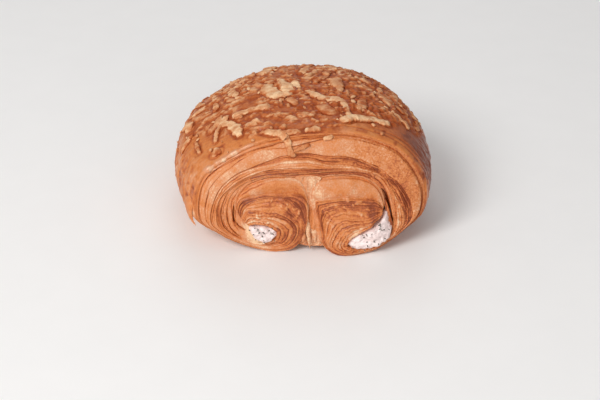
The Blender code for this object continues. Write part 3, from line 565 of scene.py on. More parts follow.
def stretch(low, high, value, rise=8.0, fall=8.0):
    """1 between two values, with soft ends of these lengths inside them."""
    return smooth_step(low, low + rise, value) * (1.0 - smooth_step(high - fall, high, value))


def bell(far, width):
    """1 at no distance, falling softly to 0 over this width."""
    return np.exp(-((far / width) ** 2))


def rounded(share):
    """The height of a quarter circle over its share: steep at 0, level at 1."""
    return np.sqrt(1.0 - (1.0 - share) ** 2)


def between(start, end, share):
    """The start at share 0, the end at share 1, and evenly between them."""
    return start + (end - start) * share


def curve_through(points, steps):
    """A smooth curve through the points, with this many steps between two of them."""
    points = np.asarray(points, float)
    ends = np.vstack([2 * points[0] - points[1], points, 2 * points[-1] - points[-2]])
    share = np.arange(steps)[:, None] / steps
    pieces = []
    for before, start, end, after in zip(ends, ends[1:], ends[2:], ends[3:]):
        linear = end - before
        square = 2 * before - 5 * start + 4 * end - after
        cube = 3 * start - before - 3 * end + after
        pieces.append(start + 0.5 * (linear * share + square * share**2 + cube * share**3))
    return np.vstack(pieces + [points[-1:]])


def sheet_curve():
    """The sheet on the front end, left roll to right roll, and the distance along its crust."""
    stations = LEFT_SHEET[::-1] + (DOME_TOP,) + RIGHT_SHEET
    curve = curve_through(stations, CURVE_STEPS)
    curve[:, 1] = np.maximum(curve[:, 1], 0.0)
    along = np.concatenate([[0.0], np.cumsum(np.hypot(*np.diff(curve[:, :2], axis=0).T))])
    return along - along[len(LEFT_SHEET) * CURVE_STEPS], curve


ALONG, CURVE = sheet_curve()


def sheet_sides(along):
    """Outer x and z, and inner x and z, of the sheet on the front end."""
    return (np.interp(along, ALONG, column) for column in CURVE.T)


def sheet(along, across):
    """x and z of a point of the sheet on the front end."""
    outer_x, outer_z, inner_x, inner_z = sheet_sides(along)
    return between(inner_x, outer_x, across), between(inner_z, outer_z, across)


def sheet_thickness(along):
    outer_x, outer_z, inner_x, inner_z = sheet_sides(along)
    return np.hypot(outer_x - inner_x, outer_z - inner_z)


def on_roll(along):
    """0 on the dome, 1 on the rolls."""
    return smooth_step(ROLL_FROM, ROLL_FULL, np.abs(along))


def front_y(x, z):
    """Where the front end lies for a place on it, before its relief."""
    lean = END_LEAN * (z / END_HEIGHT) ** 2 + END_BOW * (x / END_HALF_WIDTH) ** 2
    return -FRONT_REACH + lean - END_SKEW * x - patches((FRONT_NOSE,), x, z)


def back_y(x, z):
    """Where the back end lies for a place on the front end."""
    return BACK_REACH - END_LEAN * (z / END_HEIGHT) ** 2 - END_BOW * (x / END_HALF_WIDTH) ** 2


def loaf(x, z, length_share, stands_out=0.0):
    """The point of the loaf for a place on the front end, a share of the length and some relief."""
    y = between(front_y(x, z), back_y(x, z), length_share)
    front = y < 0
    rise = 1.0 - np.clip(np.where(front, -y / FRONT_REACH, y / BACK_REACH), 0.0, 1.0) ** SWELL_POWER
    wide = between(np.where(front, 1.0, BACK_WIDTH), 1.0 + SWELL_X, rise)
    high = between(np.where(front, 1.0, BACK_HEIGHT), 1.0 + SWELL_Z, rise)
    to_end = np.clip(np.minimum(length_share, 1.0 - length_share) / ROUNDED_PART, 0.0, 1.0)
    keep = 1.0 - (1.0 - rounded(to_end)) * np.where(length_share < 0.5, FRONT_ROUNDING, BACK_ROUNDING)
    y = y + np.where(length_share < 0.5, -stands_out, stands_out)
    return np.stack(np.broadcast_arrays(x * wide * keep - ORIGIN_X, y - ORIGIN_Y, z * high * keep), axis=-1)


def end_relief(along, across):
    """How far an end stands out there, from the two relief tables."""
    dome, roll = (np.interp(across, *np.array(table)[::-1].T) for table in (DOME_END, ROLL_END))
    return (1.0 - on_roll(along)) * dome + on_roll(along) * roll


# ================================================================ noise, patches and meshes
def noise(places, size, seed):
    """Smooth random values from -1 to 1 over places of any dimension, with this grain size."""
    places = np.asarray(places, float)
    dimensions = places.shape[-1]
    side = NOISE_SIDES[dimensions - 1]
    lattice = np.random.default_rng(seed).uniform(-1.0, 1.0, (side,) * dimensions)
    cell = places / size + 1000.0 + seed * 0.37
    base = np.floor(cell).astype(int)
    share = cell - base
    share = share * share * (3.0 - 2.0 * share)
    total = 0.0
    for corner in itertools.product((0, 1), repeat=dimensions):
        weight = np.prod(np.where(corner, share, 1.0 - share), axis=-1)
        index = (base + corner) % side
        total = total + weight * lattice[tuple(np.moveaxis(index, -1, 0))]
    return total


def fractal(places, size, seed, octaves=3):
    """Noise with finer and weaker noise on top, each of half the size and half the strength."""
    return sum(noise(places, size / 2**octave, seed + octave) / 2**octave for octave in range(octaves))


def lumps_of(places, table):
    """The sum of the noises of a table: amount, grain size and start of the draws of each."""
    return sum(amount * noise(places, size, seed) for amount, size, seed in table)


def line_noise(along, size, seed):
    """Noise over distances along one way."""
    return noise(np.asarray(along, float)[..., None], size, seed)


def line_waves(along, table, seed, start=0.0):
    """The sum of the waves of a table: amount, length and offset of the draws of each."""
    return sum((amount * line_noise(along, length, seed + offset) for amount, length, offset in table), start)


def patches(table, along, other):
    """The sum of soft round patches of a table: a place and a reach each way, and an amount."""
    total = 0.0
    for centre_along, centre_other, reach_along, reach_other, amount in table:
        far = ((along - centre_along) / reach_along) ** 2 + ((other - centre_other) / reach_other) ** 2
        total = total + amount * np.exp(-far)
    return total


def round_body(front, first_side, back, second_side):
    """Rows of points or values right round a body, with the first one again at the end."""
    return np.concatenate([front, first_side, back, second_side, front[:, :1]], axis=1)


def surface_normals(points):
    """Unit normals of a grid of points: the way along its columns cross the way along its rows."""
    normals = np.cross(np.gradient(points, axis=0), np.gradient(points, axis=1))
    return normals / np.maximum(np.linalg.norm(normals, axis=-1, keepdims=True), 1e-9)


def grid_mesh(name, points, values):
    """A mesh of quads over a grid of points in millimetres, with a value of each kind at each point."""
    columns, rows = points.shape[:2]
    shape = bmesh.new()
    bmesh.ops.create_grid(shape, x_segments=columns - 1, y_segments=rows - 1, size=0.5)
    mesh = bpy.data.meshes.new(name)
    shape.to_mesh(mesh)
    shape.free()
    flat = np.zeros(len(mesh.vertices) * 3)
    mesh.vertices.foreach_get("co", flat)
    places = flat.reshape(-1, 3)
    column = np.rint((places[:, 0] + 0.5) * (columns - 1)).astype(int)
    row = np.rint((places[:, 1] + 0.5) * (rows - 1)).astype(int)
    mesh.vertices.foreach_set("co", (points[column, row] * METRES_PER_MM).astype(np.float32).ravel())
    for kind, numbers in values.items():
        layer = mesh.attributes.new(kind, "FLOAT", "POINT")
        whole = np.broadcast_to(np.asarray(numbers, np.float32), (columns, rows))
        layer.data.foreach_set("value", np.ascontiguousarray(whole[column, row]))
    mesh.update()
    return mesh


def object_of(shape, name, smooth=True):
    """An object in the scene made of a bmesh, which is freed."""
    for face in shape.faces:
        face.smooth = smooth
    mesh = bpy.data.meshes.new(name)
    shape.to_mesh(mesh)
    shape.free()
    piece = bpy.data.objects.new(name, mesh)
    bpy.context.scene.collection.objects.link(piece)
    return piece


def closed_piece(name, meshes):
    """One object of the meshes, each with its doubles merged, open ends filled and faces outwards."""
    shape = bmesh.new()
    for mesh in meshes:
        part = bmesh.new()
        part.from_mesh(mesh)
        bmesh.ops.remove_doubles(part, verts=part.verts, dist=MERGE_DISTANCE)
        bmesh.ops.dissolve_degenerate(part, edges=part.edges, dist=NO_LENGTH)
        bmesh.ops.holes_fill(part, edges=[edge for edge in part.edges if edge.is_boundary], sides=0)
        bmesh.ops.recalc_face_normals(part, faces=part.faces)
        part.to_mesh(mesh)
        part.free()
        shape.from_mesh(mesh)
        bpy.data.meshes.remove(mesh)
    return object_of(shape, name)


def finish_piece(piece, material, node):
    """Gives a piece its material and ties it to the solid model."""
    piece.data.materials.clear()
    piece.data.materials.append(material)
    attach(piece, BODY)
    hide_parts(node)


# ================================================================ layered dough
def band_curves():
    """Distances along the sheet, and the softened place across it of each edge between bands there."""
    grid = np.arange(ALONG[0], ALONG[-1] + EDGE_GRID_STEP, EDGE_GRID_STEP)
    reach = int(4 * EDGE_SOFTENING / EDGE_GRID_STEP)
    kernel = np.exp(-0.5 * (np.arange(-reach, reach + 1) * EDGE_GRID_STEP / EDGE_SOFTENING) ** 2)
    kernel /= kernel.sum()
    curves = []
    for edge in BAND_EDGES:
        sharp = np.interp(grid, *np.array(edge, float).T)
        curves.append(np.convolve(np.pad(sharp, reach, mode="edge"), kernel, mode="valid"))
    return grid, curves


def leaf_edges(along):
    """Places across the sheet of every edge between two leaves, and the band that each leaf is in."""
    grid, curves = band_curves()
    inner_edges = [np.interp(along, grid, curve) for curve in curves]
    bands = [np.ones_like(along), *inner_edges, np.zeros_like(along)]
    for index in range(len(bands) - 2, 0, -1):
        bands[index] = np.maximum(bands[index], bands[index + 1] + LEAST_LEAF * BANDS[index].leaves)
    for index in range(1, len(bands) - 1):
        bands[index] = np.minimum(bands[index], bands[index - 1] - LEAST_LEAF * BANDS[index - 1].leaves)
    edges, band_of = [bands[0]], []
    for index, (upper, lower, band) in enumerate(zip(bands, bands[1:], BANDS)):
        for leaf in range(1, band.leaves + 1):
            edges.append(upper + (lower - upper) * leaf / band.leaves)
            band_of.append(index)
    edges = np.array(edges)
    room = np.minimum(edges[:-2] - edges[1:-1], edges[1:-1] - edges[2:])
    for index in range(1, len(edges) - 1):
        edges[index] += np.minimum(room[index - 1], WIDEST_WANDER) * line_waves(along, EDGE_WAVES, index)
    return edges, band_of


def leaf_rows(band_of, fine):
    """Every row of an end as (leaf, share of the leaf)."""
    rows = []
    for leaf, band in enumerate(band_of):
        shares = (PALE_LEAF_ROWS if band in PALE_BANDS else THIN_LEAF_ROWS) if fine else BACK_LEAF_ROWS
        rows += [(leaf, share) for share in shares]
    return rows + [(len(band_of) - 1, 1.0)]


def gap_depths(along, edges, band_of, size, settings, seed):
    """Depth of the gap at every edge of a leaf, none at the sheet's own sides."""
    depth = np.zeros_like(edges)
    for index in range(1, len(band_of)):
        band = BANDS[max(band_of[index - 1], band_of[index])]
        change = np.clip(line_waves(along, GAP_WAVES, seed + index, GAP_MIDDLE), 0.06, 1.2)
        near = np.clip(np.minimum(size[index - 1], size[index]) / THIN_LEAF, 0.25, 1.0)
        depth[index] = band.gap_depth * change * near * settings.gap_depth / GAP_DEPTH
        depth[index] *= 1.0 - np.clip(patches(CLOSED_GAPS, along, edges[index]), 0.0, 0.97)
        depth[index] *= 1.0 - ROLL_GAPS_CLOSED[index % 2] * on_roll(along)
    return depth


def leaf_row(along, leaf, share, within, band, roll, size, depth, step, seed):
    """Relief, painted shade of the gaps and browning of one row, at a share of a leaf and `within` of its
    band.
    """
    to_top, to_foot = share * size[leaf], (1.0 - share) * size[leaf]
    crown = 1.0 - (2.0 * share - 1.0) ** 2
    height = between(*band.dome_reach, within) * (1.0 - roll) + between(*band.roll_reach, within) * roll
    height = height + step[leaf] + LEAF_CROWN * np.clip(size[leaf], 0.0, 1.2) * crown
    for other, far in ((max(leaf - 1, 0), to_top), (min(leaf + 1, len(size) - 1), to_foot)):
        height = height + (np.minimum(step[other], step[leaf]) - step[leaf]) * bell(far, STEP_WIDTH)
    height = height - depth[leaf] * np.exp(-to_top / GAP_WIDTH)
    height = height - depth[leaf + 1] * np.exp(-to_foot / GAP_WIDTH)
    # Painted shade: the row is darker near a gap, the more so the deeper the gap.
    dark = depth[leaf] * bell(to_top, GAP_SHADE_WIDTH)
    dark = np.maximum(dark, depth[leaf + 1] * bell(to_foot, GAP_SHADE_WIDTH))
    bake = between(band.dome_bake, band.roll_bake, roll)
    # Painted highlight: a leaf is painted paler along its crown. On the rolls every other leaf is browner.
    if band.leaves > 1:
        bake = bake - 0.10 * crown + ROLL_LEAF_CONTRAST * roll * (-1) ** leaf
    bake = line_waves(along, BAKE_WAVES, seed + leaf, bake)
    bake = bake + (1.0 + roll) * line_waves(along, ROLL_BAKE_WAVES, seed + leaf)
    return height, np.clip(dark / GAP_FULL_SHADE_DEPTH, 0.0, 1.3), bake


def end_face(along, settings, seed, fine):
    """Places across, relief, painted shade of the gaps and browning for the rows of one end of the sheet."""
    edges, band_of = leaf_edges(along)
    thickness, roll = sheet_thickness(along), on_roll(along)
    size = (edges[:-1] - edges[1:]) * thickness
    depth = gap_depths(along, edges, band_of, size, settings, seed)
    step = np.array([line_waves(along, STEP_WAVES, seed + leaf) for leaf in range(len(band_of))])
    step *= np.clip(size / STEP_LEAF, 0.2, 1.0)
    heads = np.searchsorted(band_of, range(len(BANDS)))
    rows = []
    for leaf, share in leaf_rows(band_of, fine):
        band = BANDS[band_of[leaf]]
        within = (leaf - heads[band_of[leaf]] + share) / band.leaves
        across = between(edges[leaf], edges[leaf + 1], share)
        rows.append((across, *leaf_row(along, leaf, share, within, band, roll, size, depth, step, seed)))
    places, reliefs, gaps, bakes = np.array(rows).transpose(1, 2, 0)
    for line in LEAF_LINES:
        way, across, depths = np.array(line, float).T
        away = (places - np.interp(along, way, across)[:, None]) * thickness[:, None]
        line_depth = np.interp(along, way, depths, left=0.0, right=0.0)[:, None]
        reliefs = reliefs - line_depth * bell(away, LEAF_LINE_WIDTH)
        # The fine lines are painted darker by their depth too, as painted shade.
        gaps = np.maximum(gaps, line_depth / GAP_FULL_SHADE_DEPTH * bell(away, LEAF_LINE_SHADE_WIDTH))
    column = along[:, None]
    rough = np.stack([np.broadcast_to(column, places.shape), places * thickness[:, None]], axis=-1)
    knotty = patches(KNOTS, column, places)
    knots = knotty * smooth_step(0.15, 0.50, noise(rough, KNOT_GRAIN, seed + 275))
    reliefs = reliefs + patches(END_SWELLINGS, column, places) + KNOT_HEIGHT * knots
    reliefs = reliefs + (0.12 + 0.10 * roll[:, None]) * fractal(rough, 2.4, seed + 260, 3)
    bakes = bakes + patches(END_PATCHES, column, places) + 0.12 * fractal(rough, 3.0, seed + 265, 2)
    bakes = bakes + 0.10 * (1.0 - smooth_step(0.0, 0.05, places))
    # The knots are raised, and painted pale as painted glints.
    bakes = bakes - KNOT_GLINT_PALENESS * knots + KNOT_GROUND * knotty
    return places, reliefs, gaps, bakes


def dough_stations():
    """Distances along the sheet, and the share of its thickness there, which rounds off its edges."""
    count = round((ALONG[-1] - ALONG[0] - 2 * SHEET_NOSE) / DOUGH_STEP)
    middle = np.linspace(ALONG[0] + SHEET_NOSE, ALONG[-1] - SHEET_NOSE, count + 1)
    turns = np.radians(np.linspace(90.0, 0.0, 7))[:-1]
    nose, thick = SHEET_NOSE * (1.0 - np.sin(turns)), np.cos(turns)
    thick[0] = 0.0
    along = np.concatenate([ALONG[0] + nose, middle, ALONG[-1] - nose[::-1]])
    return along, np.concatenate([thick, np.ones(len(middle)), thick[::-1]])


def dough_mesh(settings):
    """The sheet of dough: its front end, its inner side, its back end and its outer side."""
    along, thick = dough_stations()
    column, thick, roll = along[:, None], thick[:, None], on_roll(along)[:, None]
    tuck = SKIN_TUCK * (1.0 - smooth_step(*(SKIN_REACH - np.array(TUCK_FADE)), np.abs(column)))

    def points(across, length_share, reach=0.0):
        x, z = sheet(column, 0.5 + (across - 0.5) * thick)
        return loaf(x, z, length_share, reach * thick)

    def end_points(face, length_share):
        across = face[0] * (1.0 - tuck)
        under_skin = smooth_step(*UNDER_SKIN, across) * (tuck > SKIN_TUCK / 2)
        return points(across, length_share, face[1] - UNDER_SKIN_DIP * under_skin)

    front, back = end_face(along, settings, 300, True), end_face(along, settings, 700, False)
    front_points, back_points = end_points(front, 0.0), end_points(back, 1.0)
    inner, outer = points(0.0, np.array(SIDE_SHARES)), points(1.0 - tuck, np.array(SIDE_SHARES[::-1]))
    whole = round_body(front_points, inner, back_points[:, ::-1], outer)
    whole[..., 2] = np.maximum(whole[..., 2], 0.0)

    def spread(kind, inner_value, outer_value):
        inner_part, outer_part = (np.zeros(inner.shape[:2]) + value for value in (inner_value, outer_value))
        return round_body(front[kind], inner_part, back[kind][:, ::-1], outer_part)

    pale_band = smooth_step(*PALE_GRAIN_FROM, column) * (1.0 - roll)
    grain = between(GRAIN_OF_LEAVES, GRAIN_OF_PALE_BAND, pale_band)
    bake = spread(3, INNER_BAKE, between(*OUTER_BAKE, roll))
    return grid_mesh("dough", whole, {"bake": bake, "gap": spread(2, 0.0, 0.0), "grain": grain})


# ================================================================ browned skin with baked cheese
def cheese_cover(along, y):
    """Where baked cheese lies on the skin, from 0 to 1."""
    places = np.stack([along, y], axis=-1)
    far = np.hypot((along - CHEESE_CENTRE[0]) / CHEESE_REACH[0], (y - CHEESE_CENTRE[1]) / CHEESE_REACH[1])
    far = far + 0.15 * fractal(places, 7.0, 11, 3)
    bare = smooth_step(*BARE_FROM, along) * (1.0 - smooth_step(*BARE_FRONT, y))
    return (1.0 - smooth_step(*CHEESE_EDGE, far)) * (1.0 - BARE_SHARE * bare)


def from_line(places, line):
    """Distance of places from the side of a line of points that have a width."""
    far = np.full(places.shape[:-1], 1e9)
    for start, end in zip(line, line[1:]):
        step = end[:2] - start[:2]
        share = np.clip((places - start[:2]) @ step / (step @ step), 0.0, 1.0)
        to_middle = np.linalg.norm(places - start[:2] - share[..., None] * step, axis=-1)
        far = np.minimum(far, to_middle - between(start[2], end[2], share) / 2)
    return far


def strand_lines(settings):
    """Melted bits over the cheese's area: bent lines with a width, and the height and browning of each."""
    chance = random.Random(settings.seed)
    found = []
    while len(found) < settings.strands:
        across, lengthways = chance.uniform(-1.0, 1.0), chance.uniform(-1.0, 1.0)
        if math.hypot(across, lengthways) > STRAND_FURTHEST:
            continue
        centre = np.array(CHEESE_CENTRE) + np.array(CHEESE_REACH) * (across, lengthways)
        turn = chance.uniform(0.0, math.pi)
        bend = chance.uniform(-STRAND_BEND, STRAND_BEND)
        length = chance.triangular(*STRAND_LENGTH)
        width = chance.triangular(*STRAND_WIDTH)
        steps = [np.array((math.cos(turn + bend * way), math.sin(turn + bend * way))) for way in (-1, 0, 1)]
        line = [centre - length / 2 * steps[1]]
        for step in steps:
            line.append(line[-1] + step * length / 3)
        line = np.hstack([line, np.full((len(line), 1), width)])
        found.append((line, chance.uniform(*STRAND_HEIGHT), chance.triangular(*STRAND_TONE)))
    return found


def calm_at(along, y):
    """The share by which melted bits are lower there: on the left, in front, and at both sides."""
    left = LEFT_CALM * smooth_step(-12.0, -28.0, along) * smooth_step(14.0, 0.0, y)
    return max(left, EDGE_CALM * smooth_step(24.0, 38.0, abs(along)))


def stamp_strands(along, y, settings):
    """Height of the melted bits over a grid, browning of the topmost one, and a groove round each shred,
    whose darkening is partly toasting, partly painted contact shadow.
    """
    height, shaded_groove = np.zeros_like(along), np.zeros_like(along)
    tone = np.full_like(along, GROUND_TONE)
    rough = noise(np.stack([along, y], axis=-1), 0.9, 21)

    def beside(line):
        """Which points of the grid lie near a line, and how far from its side."""
        margin = line[0, 2] + 1.5
        low, high = line[:, :2].min(axis=0) - margin, line[:, :2].max(axis=0) + margin
        near = (along > low[0]) & (along < high[0]) & (y > low[1]) & (y < high[1])
        return near, from_line(np.stack([along[near], y[near]], axis=-1), line)

    for line, tall, brown in strand_lines(settings):
        near, far = beside(line)
        inside = np.clip(0.4 * rough[near] - far / (line[0, 2] / 2), 0.0, 1.0)
        under = height[near]
        calm = calm_at(*line[:, :2].mean(axis=0))
        rise = tall * (1.0 - calm) * rounded(inside) * (1.0 + 0.25 * rough[near])
        height[near] = np.where(inside > 0.0, np.maximum(under, 0.5 * under + rise), under)
        tone[near] += (brown - tone[near]) * smooth_step(0.0, 0.35, inside)
    for _, line in shred_routes():
        near, far = beside(line)
        # The groove round each shred is sunk in. The browning it adds is partly toasting, partly painted
        # contact shadow.
        shaded_groove[near] = np.maximum(shaded_groove[near], bell(far - 0.15, 0.55))
    return height, tone, shaded_groove


def lip_relief(along, from_edge, places):
    """The lines beside the skin's front edge, and the ragged ridge on its left part."""
    lines = np.zeros_like(along)
    for distance, low, high, depth in LIP_LINES:
        wander = distance + 0.5 * line_noise(along, 9.0, 61 + int(distance * 10))
        lines += depth * stretch(low, high, along) * bell(from_edge - wander, LIP_LINE_WIDTH)
    distance, low, high, _ = LIP_RIDGE
    ragged = np.clip(0.75 + 0.7 * fractal(places * (0.6, 1.0), 1.5, 66, 3), 0.2, 1.15)
    wander = distance + 0.4 * line_noise(along, 3.0, 68)
    return lines, stretch(low, high, along, fall=6.0) * bell(from_edge - wander, LIP_RIDGE_WIDTH) * ragged


def skin_relief(along, y, from_edge, settings):
    """Height above the form, cheese cover, cheese tone, browning, lines and gloss of the skin."""
    places = np.stack([along, y], axis=-1)
    grain = {name: fractal(places, *row) for name, row in SKIN_GRAIN.items()}
    cover = cheese_cover(along, y)
    strands, tone, shaded_groove = stamp_strands(along, y, settings)
    lines, lip = lip_relief(along, from_edge, places)
    on_left, on_right = along < 0.0, along > 0.0
    sides = smooth_step(SIDE_FROM, SIDE_FULL, np.abs(along)) * (1.0 - cover)
    knobs = grain["knobs"] * smooth_step(30.0, 42.0, -along) * (1.0 - cover)
    pits = sides * smooth_step(0.45, 0.8, grain["pits"])
    blisters = np.clip(grain["blisters"] - 0.35, 0.0, 1.0)
    drift = 0.8 * grain["drift"]
    streaky = np.stack([along * STREAK_SQUEEZE + drift, from_edge + 1.5 * drift], axis=-1)
    streaks = fractal(streaky, *STREAK_GRAIN)

    bare = 0.10 * grain["swells"] + 0.07 * grain["bubbles"] + 0.28 * blisters - 0.20 * pits + 0.20 * knobs
    bare = bare + sides * ((0.20 + 0.20 * on_right) * streaks + 0.16 * on_left * grain["mottling"])
    cheese = 0.18 + strands + 0.16 * grain["bubbles"] + 0.10 * grain["melt"]
    height = between(bare, cheese, cover) + 0.05 * grain["fine"] - lines + LIP_RIDGE[3] * lip - 0.35 * shaded_groove

    # The groove round each shred is painted darker here: partly toasting, partly painted contact shadow.
    bake = SKIN_BAKE + 0.10 * grain["clouds"] + 0.07 * grain["bubbles"] + patches(SKIN_PATCHES, along, y)
    # Painted highlight: the ridge on the left lip is painted paler.
    bake = bake + 0.25 * smooth_step(0.45, 0.9, grain["scorches"]) + 0.24 * shaded_groove - 0.26 * lip
    bake = bake - 0.10 * bell(from_edge, 3.0) * smooth_step(0.0, 12.0, along) + 0.22 * pits - 0.12 * knobs
    # On the right the tops of the streaks are painted paler as painted highlights. On the left they are
    # browner.
    bake = bake + sides * ((0.20 - 0.34 * on_right) * streaks + 0.20 * grain["tan"])

    high_up = (1.0 - cover) * (1.0 - smooth_step(48.0, 66.0, np.abs(along)))
    gloss = 0.16 * high_up + 0.9 * lip + 0.16 * smooth_step(0.2, 0.7, blisters)
    gloss = gloss + sides * on_right * smooth_step(0.0, 0.5, streaks)
    gloss = gloss + 0.5 * cover * smooth_step(0.35, 0.75, grain["gleams"])

    # Painted light and shade in the cheese: darker in the hollows, paler on high parts and towards the window
    # light on the left. The groove round each shred is darker, partly toasting, partly painted contact
    # shadow.
    shaded_hollows = smooth_step(0.15, -0.5, grain["bubbles"])
    tone = tone + 0.22 * (shaded_hollows - 0.3) + 0.10 * grain["cheese_clouds"] + 0.34 * shaded_groove
    tone = tone + 0.14 * np.clip(along / CHEESE_REACH[0], -1.0, 1.0)
    tone = np.clip(tone - 0.25 * (height - 0.5), 0.0, 1.0)
    return height, cover, tone, bake, lines, gloss


def skin_stations():
    """Distances along the sheet, closer over the dome than on the sides."""
    fine = np.linspace(-SKIN_FINE_REACH, SKIN_FINE_REACH, SKIN_FINE_STATIONS)
    side = np.linspace(SKIN_FINE_REACH, SKIN_REACH, SKIN_SIDE_STATIONS)[1:]
    return np.concatenate([-side[::-1], fine, side])


def skin_mesh(settings):
    """The skin: its rim on the front end, its outside, its rim on the back end, and its inside."""
    along = skin_stations()
    column = along[:, None]
    rim_shares, inner_shares = np.array(RIM_SHARES), np.array(INNER_SHARES)
    front_part = np.linspace(0.0, SKIN_FRONT_SHARE, SKIN_FRONT_ROWS)
    shares = np.concatenate([front_part, np.linspace(SKIN_FRONT_SHARE, 1.0, SKIN_BACK_ROWS)[1:]])

    def rows(across, share, reach=0.0):
        across, share, reach, stations = np.broadcast_arrays(across, share, reach, column)
        x, z = sheet(stations, across)
        return loaf(x, z, share, reach)

    grid, curves = band_curves()
    rim = np.interp(along, grid, curves[0])[:, None]
    front_rim = between(rim, 1.0, rim_shares)
    back_rim = front_rim[:, ::-1]
    edge_relief = end_relief(column, 1.0)
    outside = rows(1.0, shares)
    outside[..., 1] -= edge_relief * np.exp(-shares / EDGE_FALL)
    outside[..., 1] += edge_relief * np.exp(-(1.0 - shares) / EDGE_FALL)
    front_base = rows(front_rim, 0.0, end_relief(column, front_rim))
    back_base = rows(back_rim, 1.0, end_relief(column, back_rim))
    base = np.concatenate([front_base, outside, back_base], axis=1)

    y = outside[..., 1] + ORIGIN_Y
    from_edge = y - (front_y(*sheet(column, 1.0)) - DOME_END[0][1])
    stations = np.broadcast_to(column, y.shape)
    height, cover, tone, bake, lines, gloss = skin_relief(stations, y, from_edge, settings)
    under = smooth_step(*(SKIN_REACH - np.array(SKIN_FADE)), np.abs(column))
    height = between(height + SKIN_OUT, -SKIN_UNDER, under)
    right = smooth_step(*RIM_CHANGE, column)
    rim_out = between(RIM_OUT_LEFT, RIM_OUT, right) * (1.0 + 0.4 * line_noise(column, 6.0, 91))
    front_height = between(rim_out, height[:, :1], rim_shares)
    back_height = between(RIM_OUT, height[:, -1:], rim_shares[::-1])
    heights = np.concatenate([front_height, height, back_height], axis=1)
    outer = base + surface_normals(base) * heights[..., None]
    front_dive, back_dive = (rows(rim, share, end_relief(column, rim) - RIM_DIVE) for share in (0.0, 1.0))
    inner = rows(1.0 - SKIN_DEPTH, inner_shares[::-1])
    points = np.concatenate([front_dive, outer, back_dive, inner, front_dive], axis=1)
    points[..., 2] = np.maximum(points[..., 2], 0.0)

    def spread(values, rim_value, inner_value):
        front = between(rim_value, values[:, :1], rim_shares)
        back = np.repeat(values[:, -1:], len(rim_shares), axis=1)
        inside = np.broadcast_to(inner_value, (len(along), 1))
        return np.concatenate([inside, front, values, back, *[inside] * (len(inner_shares) + 2)], axis=1)

    # The rim and the rows that dive under it are painted darker, more so on the right: painted shadow under
    # the skin's rim.
    return grid_mesh("crust", points, {
        "bake": spread(bake, 0.38 + 0.24 * right, 0.4 + 0.3 * right),
        "cheese": spread(cover, 0.0, 0.0),
        "tone": spread(tone, 0.6, 0.6),
        # The lines beside the front edge are painted darker by their depth, as painted shade.
        "gap": spread(np.clip(lines / LIP_LINE_FULL_SHADE, 0.0, 1.0), 0.15 * right, 0.1 + 0.9 * right),
        "gloss": spread(gloss, 0.3, 0.0),
    })


# ================================================================ shreds of cheese
def crust_points(along, y):
    """Points of the crust, or of the end below its front edge, and the way up from each."""
    along, y = np.asarray(along, float), np.asarray(y, float)
    x, z = sheet(along, 1.0)
    furthest = between(front_y(x, z), back_y(x, z), CHEESE_BACK_LIMIT)
    y = np.where(y > furthest, furthest + CHEESE_BACK_GIVE * (y - furthest), y)

    def place(along, y):
        start = front_y(*sheet(along, 1.0))
        across = 1.0 - np.clip((start - y) / sheet_thickness(along), 0.0, CHEESE_LOWEST)
        reach = np.where(y < start, end_relief(along, across), 0.0)
        x, z = sheet(along, across)
        share = np.clip((y - start) / (back_y(x, z) - start), 0.0, 0.99)
        return loaf(x, z, np.where(y < start, 0.0, share), reach)

    step = 0.6
    across = place(along + step, y) - place(along - step, y)
    lengthways = place(along, y + step) - place(along, y - step)
    up = np.cross(across, lengthways)
    return place(along, y), up / np.linalg.norm(up, axis=-1, keepdims=True)


def resample(values, places, wanted):
    """Rows of values that belong to these places, at the wanted places."""
    return np.stack([np.interp(wanted, places, column) for column in values.T], axis=-1)


def close_rod(points):
    """Draws each end of a rod into one point, and joins its last side to the first."""
    points[[0, -1]] = points[[0, -1]].mean(axis=1, keepdims=True)
    points[:, -1] = points[:, 0]


